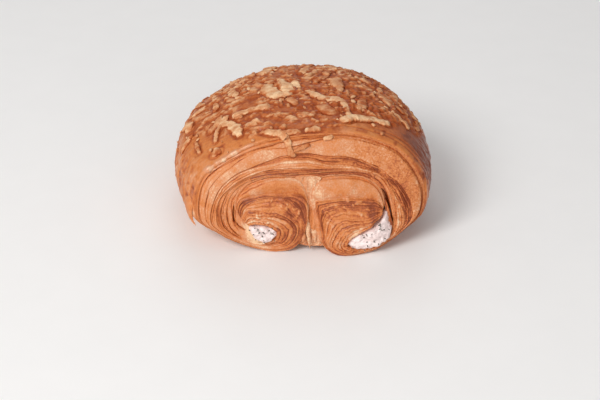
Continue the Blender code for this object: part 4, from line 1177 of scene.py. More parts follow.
def shred_mesh(name, brown, way, index):
    """A lumpy, flat-bottomed shred with round ends along its way over the crust."""
    route = curve_through(way, SHRED_STEPS)
    centres, ups = crust_points(route[:, 0], route[:, 1])
    travelled = np.concatenate([[0.0], np.cumsum(np.linalg.norm(np.diff(centres, axis=0), axis=-1))])
    start, end = -SHRED_OVERHANG * route[0, 2], travelled[-1] + SHRED_OVERHANG * route[-1, 2]
    wanted = np.linspace(start, end, max(int((end - start) / SHRED_RING_STEP), SHRED_LEAST_RINGS))
    middle, up = resample(centres, travelled, wanted), resample(ups, travelled, wanted)
    first, last = centres[1] - centres[0], centres[-1] - centres[-2]
    middle += first / np.linalg.norm(first) * np.minimum(wanted, 0.0)[:, None]
    middle += last / np.linalg.norm(last) * np.maximum(wanted - travelled[-1], 0.0)[:, None]
    side = np.cross(np.gradient(middle, axis=0), up)
    side /= np.linalg.norm(side, axis=-1, keepdims=True)

    width = np.interp(wanted, travelled, route[:, 2])
    to_end = np.minimum(wanted - start, end - wanted) / (width * SHRED_TAPER)
    taper = rounded(np.clip(to_end, 0.0, 1.0))[:, None]
    half = width * line_waves(wanted, SHRED_WIDTH_WAVES, index, 0.5)
    drift = width * line_waves(wanted, SHRED_DRIFT_WAVES, index)
    tall = np.minimum(SHRED_LEAST_HEIGHT + SHRED_RISE * width, SHRED_TALLEST)
    tall = (tall * line_waves(wanted, SHRED_HEIGHT_WAVES, index, 1.0))[:, None]
    turn = 2 * np.pi * np.arange(SHRED_SIDES + 1) / SHRED_SIDES
    section = zip((np.cos(turn), np.sin(turn)), SHRED_SQUARENESS)
    out, rise = (np.sign(wave) * np.abs(wave) ** power for wave, power in section)
    sideways = drift[:, None] + taper * out * half[:, None]
    upwards = ((rise * 0.5 + 0.5) * taper - SHRED_SINK) * tall
    points = middle[:, None] + side[:, None] * sideways[..., None] + up[:, None] * upwards[..., None]

    outwards = points - middle[:, None] - up[:, None] * tall[..., None] * 0.3
    outwards = outwards / np.maximum(np.linalg.norm(outwards, axis=-1, keepdims=True), 1e-6)
    lumps = lumps_of(points, SHRED_LUMPS)
    points = points + outwards * (lumps * np.clip(taper * 2.0, 0.0, 1.0))[..., None]
    close_rod(points)
    # The sides of a shred are darker and its top paler: partly toasted edges, partly painted shade on the
    # sides and painted light on the top.
    side_share = 1.0 - np.clip(rise, 0.0, 1.0) * taper
    tone = brown + 0.08 + 0.42 * side_share**2 + lumps_of(points, SHRED_SPOTS) - 0.6 * lumps
    return grid_mesh(name, points, {"tone": np.clip(tone, 0.0, 1.0)})


def shred_routes():
    """Every shred, from the table or scattered, as how browned it is and its way over the crust."""
    chance = random.Random(CHEESE_SEED)
    routes = [(brown, np.array(way)) for brown, way in CHEESE]
    taken = [way[:, :2].mean(axis=0) for _, way in routes]
    while len(routes) < len(CHEESE) + SCATTERED_SHREDS:
        middle = np.array((chance.uniform(*SCATTER_ALONG), chance.uniform(*SCATTER_Y)))
        if min(np.hypot(*(middle - other)) for other in taken) < SCATTER_CLEARANCE:
            continue
        taken.append(middle)
        turn = chance.uniform(0.0, math.pi)
        half = np.array((math.cos(turn), math.sin(turn))) * chance.uniform(*SCATTER_LENGTH) / 2
        bend = np.array((-half[1], half[0])) * chance.uniform(-0.5, 0.5)
        places = np.array([middle - half, middle + bend, middle + half])
        widths = [[chance.uniform(*SCATTER_THICKNESS)] for _ in places]
        routes.append((chance.uniform(*SCATTER_TONE), np.hstack([places, widths])))
    return routes


def shred_meshes():
    return [shred_mesh(f"shred_{index}", *route, index) for index, route in enumerate(shred_routes())]


def crumb_places(settings):
    """Small bits of cheese: along, y, size and lengthening."""
    chance = random.Random(settings.seed + 1)
    found = [(along, y, size, CRUMB_ROUND_LENGTHENING) for along, y, size in CRUMB_ROUND]
    while len(found) < settings.crumbs:
        across, lengthways = chance.gauss(0.0, CRUMB_SPREAD), chance.gauss(0.0, CRUMB_SPREAD)
        if math.hypot(across, lengthways) > CRUMB_FURTHEST:
            continue
        along = CHEESE_CENTRE[0] + CHEESE_REACH[0] * across
        y = CHEESE_CENTRE[1] + CHEESE_REACH[1] * lengthways
        if y < CRUMB_FRONT:
            continue
        found.append((along, y, chance.uniform(*CRUMB_SIZE), chance.uniform(*CRUMB_LENGTHENING)))
    return found


def crumb_object(settings):
    """Bits of cheese as small uneven balls, half sunk in the crust."""
    chance = random.Random(settings.seed + 2)
    shape = bmesh.new()
    tone_layer = shape.verts.layers.float.new("tone")
    for along, y, size, longer in crumb_places(settings):
        point, up = crust_points(along, y)
        ball = bmesh.ops.create_icosphere(shape, subdivisions=2, radius=0.5)["verts"]
        tone = chance.uniform(*CRUMB_TONE)
        places = np.array([vert.co for vert in ball])
        swell = 1.0 + lumps_of(places + len(shape.verts) * 0.37, CRUMB_UNEVENNESS)
        for vert, size_here in zip(ball, swell):
            vert.co *= size_here
            # Painted light and shade: each bit is painted paler on top and darker below.
            vert[tone_layer] = min(max(tone - 0.3 * vert.co.z, 0.0), 1.0)
        turned = Vector(up).to_track_quat("Z", "Y").to_matrix().to_4x4()
        turned = turned @ Matrix.Rotation(chance.uniform(0.0, math.pi), 4, "Z")
        grown = Matrix.Diagonal((size * longer, size, size * CRUMB_FLATNESS, 1.0))
        move = Matrix.Translation(Vector(point + up * (0.30 + 0.12 * size)))
        bmesh.ops.transform(shape, matrix=TO_METRES @ move @ turned @ grown, verts=ball)
    return object_of(shape, "cheese_crumbs")


# ================================================================ dough inside
def strip_pairs(line, half_width):
    """Pairs of points on both sides of a line."""
    points = [Vector(point) for point in line]
    pairs = []
    for before, point, after in zip(points[:1] + points, points, points[1:] + points[-1:]):
        along = (after - before).normalized()
        side = Vector((-along.y, along.x)) * half_width
        pairs.append((tuple(point + side), tuple(point - side)))
    return pairs


def strip_mesh(name, pairs, depth, look, ridges, leaves, seed):
    """A strip of dough between pairs of points, from this deep in at the front to as deep at the back."""
    line = curve_through(np.array([left + right for left, right in pairs], float), STRIP_STEPS)
    left, right = line[:, None, :2], line[:, None, 2:]
    station = np.arange(len(line))
    thick = rounded(np.clip(np.minimum(station, station[::-1]) / STRIP_TIP_STATIONS, 0.0, 1.0))[:, None]
    share = np.linspace(0.0, 1.0, STRIP_ROWS)
    inset = depth / (FRONT_REACH + BACK_REACH)

    def points(row_share, length_share, reach=0.0):
        place = between(left, right, (0.5 + (row_share - 0.5) * thick)[..., None])
        return loaf(place[..., 0], place[..., 1], length_share, reach)

    place = between(left, right, share[:, None])
    lumps = ridges * (fractal(place * (1.0, 0.28), 1.5, seed, 3) + 0.8 * noise(place, 3.5, seed + 9))
    wander = 0.3 * noise(place, 5.0, seed + 20)
    to_edge = np.abs((share * leaves + wander + 0.5) % 1.0 - 0.5) / max(leaves, 1)
    # Painted shade along the gaps between the strip's leaves.
    gap = (leaves > 0) * bell(to_edge * np.linalg.norm(right - left, axis=-1), STRIP_GAP_WIDTH)
    bake, lift = look(place[..., 1], share)
    bake = bake - 0.14 * lumps
    lift = lift + lumps - STRIP_GAP_DEPTH * gap
    # Each slit is sunk in and painted dark: painted shade inside it.
    for slit in SLITS:
        opening = smooth_step(0.22, -0.1, from_line(place, np.array(slit)))
        lift = lift - SLIT_DEPTH * opening
        gap = np.maximum(gap, SLIT_SHADE * opening)
    lift = lift * thick
    sides = between(inset, 1.0 - inset, np.array(STRIP_SIDE_SHARES))
    front, back = points(share, inset, lift), points(share[::-1], 1.0 - inset, lift[:, ::-1])
    whole = round_body(front, points(1.0, sides), back, points(0.0, sides[::-1]))
    whole[..., 2] = np.maximum(whole[..., 2], 0.0)

    def spread(values, side_value):
        side = np.full((len(line), len(sides)), side_value)
        return round_body(values, side, values[:, ::-1], side)

    values = {"bake": spread(bake, STRIP_SIDE_BAKE), "gap": spread(gap, 0.0), "grain": GRAIN_OF_LEAVES}
    return grid_mesh(name, whole, values)


def crease_look(height, share):
    """Browning and lift of the crease: paler at its head and foot, a pale line down its middle, and painted
    darker between them and on its left, as painted shade in the valley between the rolls.
    """
    foot = smooth_step(10.0, 4.0, height)
    # Painted shade: the left part and the middle height are darker, and the head is darker on its left too.
    bake = 0.58 - 0.14 * smooth_step(0.40, 0.75, share) - 0.12 * bell(share - 0.5, 0.10) - 0.26 * foot
    bake = bake + 0.06 * line_noise(share, 0.07, 870) * smooth_step(24.0, 18.0, height)
    head = smooth_step(16.0, 21.0, height)
    bake = between(bake, 0.28 - 0.18 * smooth_step(0.30, 0.65, share), head)
    lift = 0.35 * line_noise(share, 0.08, 880) * (1.0 - head)
    lift = lift + 0.35 * head * smooth_step(0.25, 0.6, share) * smooth_step(29.0, 25.0, height)
    lift = lift - 1.2 * smooth_step(29.2, 29.8, height)
    return bake, lift - 0.8 * smooth_step(6.0, 2.6, height)


def lap_look(height, share):
    """Browning and lift of the dough beside the left filling, where cream is smeared over it."""
    smeared = smooth_step(0.1, 0.6, share) * smooth_step(12.5, 9.5, height)
    return 0.34 - 0.42 * smeared, 0.3 * smooth_step(0.25, 0.0, share) * smooth_step(9.0, 11.0, height)


def right_side_look(_, share):
    """Browning and lift of the strip beside the right roll, painted darker on the roll's side of the slit as
    painted shade.
    """
    return 0.36 + 0.26 * smooth_step(0.45, 0.6, share), 0.0


def plain_look(value):
    """The same browning all over, and no lift."""
    return lambda height, share: (value, 0.0)


def inner_dough_meshes():
    """The strips of dough in the crease, beside the fillings and along the seams."""
    top = strip_pairs(TOP_SEAM, TOP_SEAM_HALF_WIDTH)
    left_side = strip_pairs(LEFT_SIDE_STRIP, SIDE_HALF_WIDTH)
    right_side = strip_pairs(RIGHT_SIDE_STRIP, SIDE_HALF_WIDTH)
    return [
        strip_mesh("crease", CREASE_STRIP, CREASE_SET_BACK, crease_look, 0.35, 0, 810),
        strip_mesh("lap", LAP_STRIP, LAP_SET_BACK, lap_look, 0.2, 0, 820),
        strip_mesh("top", top, SEAM_SET_BACK, plain_look(0.64), 0.2, 5, 830),
        strip_mesh("left_side", left_side, SIDE_SET_BACK, plain_look(0.36), 0.2, 3, 840),
        strip_mesh("right_side", right_side, SIDE_SET_BACK, right_side_look, 0.2, 3, 860),
    ]


# ================================================================ cream filling
def closed_curve(points, steps):
    """A smooth curve through the points that ends where it starts."""
    return curve_through([*points, points[0]], steps)


def cream_mesh(outline, lip, seed):
    """A rod of cream through the loaf, with lumpy ends that swell out over the dough."""
    places = np.linspace(0.0, 1.0, CREAM_SIDES + 1)

    def around(points):
        curve = closed_curve(points, 7)
        turns = resample(curve, np.linspace(0.0, 1.0, len(curve)), places)
        turns[-1] = turns[0]
        return turns, turns[:-1].mean(axis=0)

    (side, middle), (edge, edge_middle) = around(outline), around(lip)
    ring = np.sin(np.linspace(0.0, 0.5, CAP_RINGS) * math.pi)[:, None]
    ragged = 1.0 + 0.11 * fractal(edge, 1.4, seed + 60, 3) * ring**3
    ragged[:, -1] = ragged[:, 0]
    cap = edge_middle + (edge - edge_middle) * (ring * ragged)[..., None]

    def end(length_share, seed):
        lumps = 0.55 * fractal(cap, 2.0, seed, 4) + 0.45 * np.clip(noise(cap, 1.2, seed + 5) - 0.1, 0.0, 1.0)
        reach = CREAM_SWELL * (1.0 - ring**6) + lumps * (1.0 - 0.5 * ring**6) - CREAM_TUCK * ring**14
        return loaf(cap[..., 0], cap[..., 1], length_share, reach)

    body = between(middle, side, CREAM_CLEARANCE)
    rod = loaf(body[:, 0], body[:, 1], np.array(CREAM_SHARES)[:, None])
    points = np.concatenate([end(0.0, seed), rod, end(1.0, seed + 20)[::-1]], axis=0)
    close_rod(points)
    pit = np.clip(0.5 - fractal(points, 1.2, seed + 40, 2), 0.0, 1.0)
    return grid_mesh("cream", points, {"pit": pit})


def cream_outlines():
    """For each filling: the solid's outline on the front end, and the outline of the swollen end."""
    turns = np.linspace(0.0, 2 * np.pi, 20, endpoint=False)
    (x, z), (half_x, half_z) = LEFT_FILLING_CENTRE, LEFT_FILLING_HALF_SIZES
    left = [(x + half_x * math.cos(turn), z + half_z * math.sin(turn)) for turn in turns]
    return {"filling_left": (left, LEFT_LIP), "filling_right": (RIGHT_FILLING, RIGHT_LIP)}


def herb_object(settings):
    """Chopped herbs in the cream at both ends: small dark slivers."""
    chance = random.Random(settings.seed + 3)
    shape = bmesh.new()
    for _, lip in cream_outlines().values():
        edge = closed_curve(lip, 4)
        middle = edge[:-1].mean(axis=0)
        for end in [0.0] * settings.herbs + [1.0] * settings.herbs:
            spot = edge[chance.randrange(len(edge) - 1)]
            place = middle + (spot - middle) * math.sqrt(chance.random()) * HERB_SPREAD
            point = loaf(place[0], place[1], end, CREAM_SWELL + chance.uniform(*HERB_LIFT))
            sliver = bmesh.ops.create_icosphere(shape, subdivisions=1, radius=0.5)["verts"]
            size = (chance.uniform(*HERB_LENGTH), HERB_WIDTH, chance.uniform(*HERB_THICKNESS), 1.0)
            turned = Matrix.Rotation(chance.uniform(0.0, math.pi), 4, "Y")
            move = Matrix.Translation(Vector(point))
            grown = Matrix.Diagonal(size)
            bmesh.ops.transform(shape, matrix=TO_METRES @ move @ turned @ grown, verts=sliver)
    return object_of(shape, "herbs")


# ================================================================ loose flakes
def flake_mesh(name, root, tip, side, width, thickness, brown, index):
    """A thin, ragged and slightly curled point of crust from its root to its tip."""
    start, end = Vector(root), Vector(tip)
    length = (end - start).length
    down = (end - start).normalized()
    across = (Vector(side) - down * down.dot(Vector(side))).normalized()
    out = across.cross(down)
    if out.dot(Vector((start.x, start.y, 0.0))) < 0.0:
        out = -out
    share = np.linspace(0.0, 1.0, FLAKE_RINGS)[:, None]
    turn = 2 * np.pi * np.arange(FLAKE_SIDES + 1) / FLAKE_SIDES
    way = share * length
    ragged = line_waves(way, FLAKE_EDGE_WAVES, index, 1.0)
    wide = (1.0 - share**1.5) * ragged * np.sqrt(np.clip(share * 10.0, 0.0, 1.0))
    sideways = np.cos(turn) * wide * width / 2 + 0.06 * width * line_noise(way, 3.0, 930 + index)
    outwards = np.sin(turn) * wide**0.5 * thickness / 2 * (1.0 - 0.5 * share)
    outwards = outwards + 1.2 * np.sin(share * np.pi) - 0.2 - 0.9 * (np.cos(turn) * wide) ** 2
    points = np.array(start) + sideways[..., None] * np.array(across) + outwards[..., None] * np.array(out)
    points = points + way[..., None] * np.array(down) - (ORIGIN_X, ORIGIN_Y, 0.0)
    points = points + 0.14 * noise(points, 1.2, 950 + index)[..., None]
    close_rod(points)
    points[..., 2] = np.maximum(points[..., 2], 0.02)
    bake = brown + 0.2 * noise(points, 2.0, 970 + index)
    return grid_mesh(name, points, {"bake": bake, "gap": 0.0, "grain": GRAIN_OF_LEAVES})


# ================================================================ materials
def new_group(name, inputs, outputs):
    """An empty node group with these sockets, and its input and output nodes."""
    group = bpy.data.node_groups.new(name, "ShaderNodeTree")
    for socket, kind, default in inputs:
        made = group.interface.new_socket(name=socket, in_out="INPUT", socket_type=kind)
        if default is not None:
            made.default_value = default
    for socket, kind in outputs:
        group.interface.new_socket(name=socket, in_out="OUTPUT", socket_type=kind)
    return group, group.nodes.new("NodeGroupInput"), group.nodes.new("NodeGroupOutput")


def add_node(tree, kind, **settings):
    node = tree.nodes.new(kind)
    for name, value in settings.items():
        setattr(node, name, value)
    return node


def feed(tree, node, socket, source):
    """Links a source socket, or sets a number or colour."""
    target = node.inputs[socket]
    if isinstance(source, bpy.types.NodeSocket):
        tree.links.new(source, target)
    else:
        target.default_value = source


def maths(tree, operation, first, second=0.0, clamp=False):
    node = add_node(tree, "ShaderNodeMath", operation=operation, use_clamp=clamp)
    feed(tree, node, 0, first)
    feed(tree, node, 1, second)
    return node.outputs[0]


def plus(tree, base, extra, weight, clamp=False):
    """The base with a share of something added."""
    return maths(tree, "ADD", base, maths(tree, "MULTIPLY", extra, weight), clamp)


def map_range(tree, value, start, end, start_becomes=0.0, end_becomes=1.0):
    """The value, with this range turned into that one."""
    node = add_node(tree, "ShaderNodeMapRange")
    feed(tree, node, "Value", value)
    feed(tree, node, "From Min", start)
    feed(tree, node, "From Max", end)
    feed(tree, node, "To Min", start_becomes)
    feed(tree, node, "To Max", end_becomes)
    return node.outputs["Result"]


def mix_colours(tree, share, first, second):
    node = add_node(tree, "ShaderNodeMix", data_type="RGBA")
    feed(tree, node, 0, share)
    feed(tree, node, 6, first)
    feed(tree, node, 7, second)
    return node.outputs[2]


def texture_noise(tree, vector, scale, detail, roughness=0.55):
    node = add_node(tree, "ShaderNodeTexNoise")
    feed(tree, node, "Vector", vector)
    feed(tree, node, "Scale", scale)
    feed(tree, node, "Detail", detail)
    feed(tree, node, "Roughness", roughness)
    return node.outputs["Fac"]


def ramp(tree, value, stops):
    node = add_node(tree, "ShaderNodeValToRGB")
    elements = node.color_ramp.elements
    while len(elements) < len(stops):
        elements.new(0.5)
    for element, (place, colour) in zip(elements, stops):
        element.position = place
        element.color = (*colour, 1.0)
    feed(tree, node, "Fac", value)
    return node.outputs["Color"]


def mottle_group():
    """Uneven browning: coarse clouds and fine specks on the object's own coordinates."""
    sizes = (("Clouds", "NodeSocketFloat", 90.0), ("Specks", "NodeSocketFloat", 900.0))
    results = (("Clouds", "NodeSocketFloat"), ("Specks", "NodeSocketFloat"))
    group, start, end = new_group("uneven_baking", (("Vector", "NodeSocketVector", None), *sizes), results)
    clouds = texture_noise(group, start.outputs["Vector"], start.outputs["Clouds"], 4.0)
    specks = texture_noise(group, start.outputs["Vector"], start.outputs["Specks"], 3.0, 0.65)
    feed(group, end, "Clouds", maths(group, "SUBTRACT", clouds, 0.5))
    feed(group, end, "Specks", maths(group, "SUBTRACT", specks, 0.5))
    return group


def crumb_grain_group():
    """Fine pores and grain of baked dough as a height."""
    inputs = (("Vector", "NodeSocketVector", None), ("Grain", "NodeSocketFloat", 1800.0))
    group, start, end = new_group("dough_grain", inputs, (("Height", "NodeSocketFloat"),))
    grain = texture_noise(group, start.outputs["Vector"], start.outputs["Grain"], 4.0, 0.6)
    pores = add_node(group, "ShaderNodeTexVoronoi", feature="F1")
    feed(group, pores, "Vector", start.outputs["Vector"])
    feed(group, pores, "Scale", maths(group, "MULTIPLY", start.outputs["Grain"], 0.6))
    raised = map_range(group, pores.outputs["Distance"], 0.05, 0.35)
    feed(group, end, "Height", plus(group, grain, raised, 0.35))
    return group


def colour_group(name, socket, stops):
    """A colour by how browned a place is."""
    group, start, end = new_group(name, ((socket, "NodeSocketFloat", 0.5),), (("Color", "NodeSocketColor"),))
    feed(group, end, "Color", ramp(group, start.outputs[socket], stops))
    return group


def shared_group(name):
    """A node group that materials share, made when it is first needed."""
    colours = bpy.context.scene.croissant_colours
    baked = (
        (0.0, colours.cream), (0.25, colours.pale), (0.5, colours.golden), (0.75, colours.brown),
        (1.0, colours.dark),
    )
    cheesy = (
        (0.0, colours.cheese_pale), (0.35, colours.cheese_tan), (0.68, colours.cheese_brown),
        (1.0, colours.cheese_dark),
    )
    makers = {
        "uneven_baking": mottle_group,
        "dough_grain": crumb_grain_group,
        "baked_colour": lambda: colour_group("baked_colour", "Bake", baked),
        "cheese_colour": lambda: colour_group("cheese_colour", "Tone", cheesy),
    }
    return bpy.data.node_groups.get(name) or makers[name]()


def use_group(tree, name, **values):
    """A node of a shared group, with these values or sources at its inputs."""
    node = add_node(tree, "ShaderNodeGroup", node_tree=shared_group(name))
    for socket, value in values.items():
        feed(tree, node, socket, value)
    return node


def start_material(name):
    """A new material, with its surface node and the object's own coordinates."""
    material = bpy.data.materials.new(name)
    material.use_nodes = True
    tree = material.node_tree
    surface = tree.nodes["Principled BSDF"]
    where = add_node(tree, "ShaderNodeTexCoord").outputs["Object"]
    return material, tree, surface, where


def attribute(tree, name):
    return add_node(tree, "ShaderNodeAttribute", attribute_name=name).outputs["Fac"]


def bumped(tree, surface, height, strength, distance):
    bump = add_node(tree, "ShaderNodeBump")
    feed(tree, bump, "Strength", strength)
    feed(tree, bump, "Distance", distance)
    feed(tree, bump, "Height", height)
    feed(tree, surface, "Normal", bump.outputs["Normal"])


def baked_texture(tree, where, clouds, specks, grain):
    """Uneven browning and fine grain of these scales: clouds, specks and a height."""
    mottle = use_group(tree, "uneven_baking", Vector=where, Clouds=clouds, Specks=specks)
    height = use_group(tree, "dough_grain", Vector=where, Grain=grain).outputs["Height"]
    return mottle.outputs["Clouds"], mottle.outputs["Specks"], height


def dough_material():
    """Layered dough: pale grainy leaves, painted darker in the gaps as painted shade, glossier where it is
    browned.
    """
    material, tree, surface, where = start_material("layered_dough")
    clouds, specks, height = baked_texture(tree, where, 160.0, 1500.0, 2200.0)
    bake = plus(tree, attribute(tree, "bake"), clouds, 0.22)
    bake = plus(tree, bake, specks, attribute(tree, "grain"))
    # The gap attribute adds painted shade in the gaps and the slits.
    bake = plus(tree, bake, attribute(tree, "gap"), 0.46, clamp=True)
    feed(tree, surface, "Base Color", use_group(tree, "baked_colour", Bake=bake).outputs["Color"])
    feed(tree, surface, "Roughness", map_range(tree, bake, 0.3, 0.8, 0.62, 0.36))
    feed(tree, surface, "Specular IOR Level", 0.35)
    bumped(tree, surface, height, 0.35, 0.00012)
    return material


def crust_material():
    """The browned skin with cheese baked on to it."""
    material, tree, surface, where = start_material("browned_crust")
    clouds, specks, height = baked_texture(tree, where, 110.0, 1100.0, 1500.0)
    bake = plus(tree, attribute(tree, "bake"), clouds, 0.30)
    bake = plus(tree, bake, specks, 0.45)
    # The gap attribute adds painted shade in the lines beside the front edge and under the rim.
    bake = plus(tree, bake, attribute(tree, "gap"), 0.18, clamp=True)
    tone = plus(tree, attribute(tree, "tone"), clouds, 0.25)
    tone = plus(tree, tone, specks, 0.60, clamp=True)
    baked = use_group(tree, "baked_colour", Bake=bake).outputs["Color"]
    cheesy = use_group(tree, "cheese_colour", Tone=tone).outputs["Color"]
    feed(tree, surface, "Base Color", mix_colours(tree, attribute(tree, "cheese"), baked, cheesy))
    rough = maths(tree, "ADD", maths(tree, "MULTIPLY", clouds, 0.35), 0.50, clamp=True)
    feed(tree, surface, "Roughness", rough)
    feed(tree, surface, "Coat Weight", attribute(tree, "gloss"))
    feed(tree, surface, "Coat Roughness", 0.32)
    feed(tree, surface, "Specular IOR Level", 0.18)
    bumped(tree, surface, height, 0.45, 0.00022)
    return material


def cheese_material():
    """Shreds of cheese, pale tan with toasted spots."""
    material, tree, surface, where = start_material("toasted_cheese")
    clouds, specks, height = baked_texture(tree, where, 260.0, 1500.0, 1700.0)
    tone = plus(tree, attribute(tree, "tone"), clouds, 0.55)
    tone = plus(tree, tone, specks, 0.55, clamp=True)
    feed(tree, surface, "Base Color", use_group(tree, "cheese_colour", Tone=tone).outputs["Color"])
    feed(tree, surface, "Roughness", 0.6)
    feed(tree, surface, "Specular IOR Level", 0.22)
    bumped(tree, surface, height, 0.5, 0.0002)
    return material


def cream_material():
    """Soft herb cream, faintly pink, shaded in its pits."""
    colours = bpy.context.scene.croissant_colours
    material, tree, surface, where = start_material("herb_cream")
    height = use_group(tree, "dough_grain", Vector=where, Grain=1300.0).outputs["Height"]
    shade = maths(tree, "MULTIPLY", attribute(tree, "pit"), 0.55, clamp=True)
    colour = mix_colours(tree, shade, (*colours.filling, 1.0), (*colours.filling_shade, 1.0))
    feed(tree, surface, "Base Color", colour)
    feed(tree, surface, "Roughness", 0.5)
    bumped(tree, surface, height, 0.3, 0.0002)
    return material


def speckled_material(name, scale, first, second, roughness):
    """Two colours mixed unevenly."""
    material, tree, surface, where = start_material(name)
    spread = texture_noise(tree, where, scale, 2.0)
    feed(tree, surface, "Base Color", mix_colours(tree, spread, (*first, 1.0), (*second, 1.0)))
    feed(tree, surface, "Roughness", roughness)
    return material


def herb_material():
    herb = bpy.context.scene.croissant_colours.herb
    light = tuple(min(1.0, channel * 2.6 + 0.02) for channel in herb)
    return speckled_material("chopped_herbs", 1200.0, herb, light, 0.6)


def floor_material():
    floor = bpy.context.scene.croissant_colours.floor
    darker = tuple(channel * 0.97 for channel in floor)
    return speckled_material("pale_floor", 60.0, darker, floor, 0.7)


# ================================================================ settings
def count_setting(name, description, default):
    return bpy.props.IntProperty(name=name, description=description, default=default)


def colour_setting(name, description, default):
    return bpy.props.FloatVectorProperty(
        name=name, description=description, default=default, subtype="COLOR", size=3, min=0.0, max=1.0
    )


class CroissantSizes(bpy.types.PropertyGroup):
    """Sizes and counts of the croissant's finish."""

    gap_depth: bpy.props.FloatProperty(
        name="Gap depth", description="Depth of the gaps between leaves of dough",
        default=GAP_DEPTH, unit="LENGTH",
    )
    strands: count_setting("Strands", "Melted strands baked into the crust", 900)
    crumbs: count_setting("Crumbs", "Small bits of cheese on the crust", 150)
    herbs: count_setting("Herbs", "Slivers of herb in each end of each filling", 22)
    seed: count_setting("Seed", "Start of the random draws", 5)


class CroissantColours(bpy.types.PropertyGroup):
    """Colours of the croissant and of the floor it stands on."""

    cream: colour_setting("Cream dough", "Dough that hardly took colour", (0.80, 0.54, 0.33))
    pale: colour_setting("Pale dough", "Broad pale leaves", (0.65, 0.280, 0.136))
    golden: colour_setting("Golden crust", "Golden crust on the sides", (0.62, 0.205, 0.054))
    brown: colour_setting("Brown crust", "Browned edges and rims", (0.46, 0.117, 0.033))
    dark: colour_setting("Dark crust", "The darkest baked places", (0.24, 0.049, 0.013))
    cheese_pale: colour_setting("Pale cheese", "Barely melted cheese", (0.86, 0.57, 0.33))
    cheese_tan: colour_setting("Tan cheese", "Toasted cheese", (0.68, 0.33, 0.155))
    cheese_brown: colour_setting("Brown cheese", "Browned cheese", (0.49, 0.133, 0.034))
    cheese_dark: colour_setting("Dark cheese", "Deep brown pits", (0.33, 0.064, 0.014))
    filling: colour_setting("Cream filling", "Herb cream", (0.95, 0.80, 0.775))
    filling_shade: colour_setting("Cream shade", "Herb cream in its pits", (0.66, 0.50, 0.47))
    herb: colour_setting("Herbs", "Chopped herbs", (0.055, 0.045, 0.03))
    floor: colour_setting("Floor", "The floor", (0.92, 0.915, 0.91))


# ================================================================ operators
class CROISSANT_OT_dough(bpy.types.Operator):
    """Make the sheet of layered dough with its leaves at both ends"""

    bl_idname = "croissant.dough"
    bl_label = "Layered dough"

    def execute(self, context):
        piece = closed_piece("dough", [dough_mesh(context.scene.croissant_sizes)])
        finish_piece(piece, dough_material(), "pastry")
        return {"FINISHED"}


class CROISSANT_OT_crust(bpy.types.Operator):
    """Make the browned skin with the cheese that is baked into it"""

    bl_idname = "croissant.crust"
    bl_label = "Cheese crust"

    def execute(self, context):
        piece = closed_piece("crust", [skin_mesh(context.scene.croissant_sizes)])
        finish_piece(piece, crust_material(), "pastry")
        return {"FINISHED"}


class CROISSANT_OT_inner_dough(bpy.types.Operator):
    """Make the dough in the crease and between the turns"""

    bl_idname = "croissant.inner_dough"
    bl_label = "Inner dough"

    def execute(self, context):
        piece = closed_piece("inner_dough", inner_dough_meshes())
        finish_piece(piece, bpy.data.materials["layered_dough"], "pastry")
        return {"FINISHED"}


class CROISSANT_OT_cheese(bpy.types.Operator):
    """Lay the large shreds of cheese and the small bits between them"""

    bl_idname = "croissant.cheese"
    bl_label = "Shreds and bits of cheese"

    def execute(self, context):
        material = cheese_material()
        finish_piece(closed_piece("cheese_shreds", shred_meshes()), material, "pastry")
        finish_piece(crumb_object(context.scene.croissant_sizes), material, "pastry")
        return {"FINISHED"}


class CROISSANT_OT_flakes(bpy.types.Operator):
    """Make the loose points of crust at the edges"""

    bl_idname = "croissant.flakes"
    bl_label = "Loose flakes"

    def execute(self, context):
        meshes = [flake_mesh(f"flake_{index}", *flake, index) for index, flake in enumerate(FLAKES)]
        piece = closed_piece("crust_flakes", meshes)
        finish_piece(piece, bpy.data.materials["layered_dough"], "pastry")
        return {"FINISHED"}


class CROISSANT_OT_filling(bpy.types.Operator):
    """Fill both rolls with herb cream"""

    bl_idname = "croissant.filling"
    bl_label = "Cream fillings"

    def execute(self, context):
        material = cream_material()
        for index, (name, outlines) in enumerate(cream_outlines().items()):
            piece = closed_piece(f"{name}_cream", [cream_mesh(*outlines, 1000 + 100 * index)])
            finish_piece(piece, material, name)
        herbs = herb_object(context.scene.croissant_sizes)
        herbs.data.materials.append(herb_material())
        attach(herbs, BODY)
        return {"FINISHED"}


def area_light(name, place, size, energy, colour):
    """A soft square light that looks at the croissant."""
    light = bpy.data.lights.new(name, "AREA")
    light.shape = "SQUARE"
    light.size = size
    light.energy = energy
    light.color = colour
    lamp = bpy.data.objects.new(name, light)
    lamp.location = place
    lamp.rotation_euler = (Vector(LIGHTS_AIM) - Vector(place)).to_track_quat("-Z", "Y").to_euler()
    bpy.context.scene.collection.objects.link(lamp)


def soft_room():
    """An even white surrounding."""
    world = bpy.data.worlds.new("soft_room")
    world.use_nodes = True
    background = world.node_tree.nodes["Background"]
    background.inputs["Color"].default_value = (1.0, 1.0, 1.0, 1.0)
    background.inputs["Strength"].default_value = ROOM_LIGHT
    return world


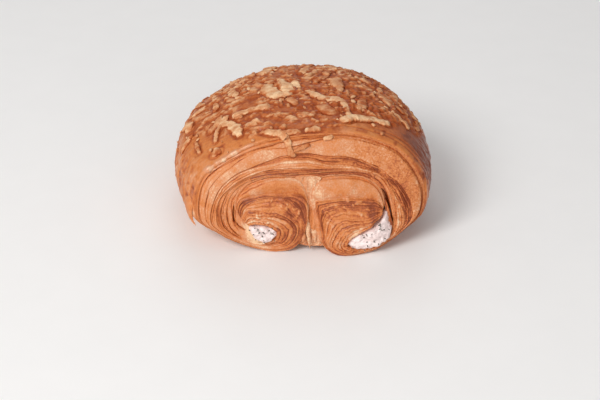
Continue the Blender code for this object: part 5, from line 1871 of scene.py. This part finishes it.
def photo_camera():
    """The camera at the place the photo was taken from, in the scene."""
    azimuth, elevation = math.radians(VIEW_AZIMUTH), math.radians(VIEW_ELEVATION)
    flat = math.cos(elevation)
    back = Vector((math.sin(azimuth) * flat, -math.cos(azimuth) * flat, math.sin(elevation)))
    camera = bpy.data.cameras.new("view")
    camera.lens = LENS
    camera.sensor_width = SENSOR_WIDTH
    camera.clip_start, camera.clip_end = CLIPPING
    viewer = bpy.data.objects.new("view", camera)
    viewer.location = (Vector(LOOK_AT) + back * VIEW_DISTANCE) * METRES_PER_MM
    turned = (-back).to_track_quat("-Z", "Y").to_matrix() @ Matrix.Rotation(math.radians(VIEW_ROLL), 3, "Z")
    viewer.rotation_euler = turned.to_euler()
    bpy.context.scene.collection.objects.link(viewer)
    return viewer


class CROISSANT_OT_stage(bpy.types.Operator):
    """Set the floor, the soft light and the camera"""

    bl_idname = "croissant.stage"
    bl_label = "Floor, light and camera"

    def execute(self, context):
        scene = context.scene
        shape = bmesh.new()
        bmesh.ops.create_grid(shape, x_segments=1, y_segments=1, size=FLOOR_HALF_SIZE)
        floor = object_of(shape, "floor", smooth=False)
        floor.data.materials.append(floor_material())
        scene.world = soft_room()
        for light in LIGHTS:
            area_light(*light)
        scene.view_settings.view_transform = "Standard"
        scene.camera = photo_camera()
        return {"FINISHED"}


class CROISSANT_PT_panel(bpy.types.Panel):
    """The croissant's steps and settings"""

    bl_idname = "CROISSANT_PT_panel"
    bl_label = "Croissant"
    bl_space_type = "VIEW_3D"
    bl_region_type = "UI"
    bl_category = "Croissant"

    def draw(self, context):
        for step in STEPS:
            self.layout.operator(step.bl_idname)
        for group in (context.scene.croissant_sizes, context.scene.croissant_colours):
            for name in group.__annotations__:
                self.layout.prop(group, name)


STEPS = (
    CROISSANT_OT_stage,
    CROISSANT_OT_dough,
    CROISSANT_OT_crust,
    CROISSANT_OT_inner_dough,
    CROISSANT_OT_cheese,
    CROISSANT_OT_flakes,
    CROISSANT_OT_filling,
)
CLASSES = (CroissantSizes, CroissantColours) + STEPS + (CROISSANT_PT_panel,)


def register():
    for kind in CLASSES:
        bpy.utils.register_class(kind)
    bpy.types.Scene.croissant_sizes = bpy.props.PointerProperty(type=CroissantSizes)
    bpy.types.Scene.croissant_colours = bpy.props.PointerProperty(type=CroissantColours)


def unregister():
    del bpy.types.Scene.croissant_colours
    del bpy.types.Scene.croissant_sizes
    for kind in reversed(CLASSES):
        bpy.utils.unregister_class(kind)


def main():
    register()
    for step in STEPS:
        group, name = step.bl_idname.split(".")
        getattr(getattr(bpy.ops, group), name)()


if __name__ == "__main__":
    main()
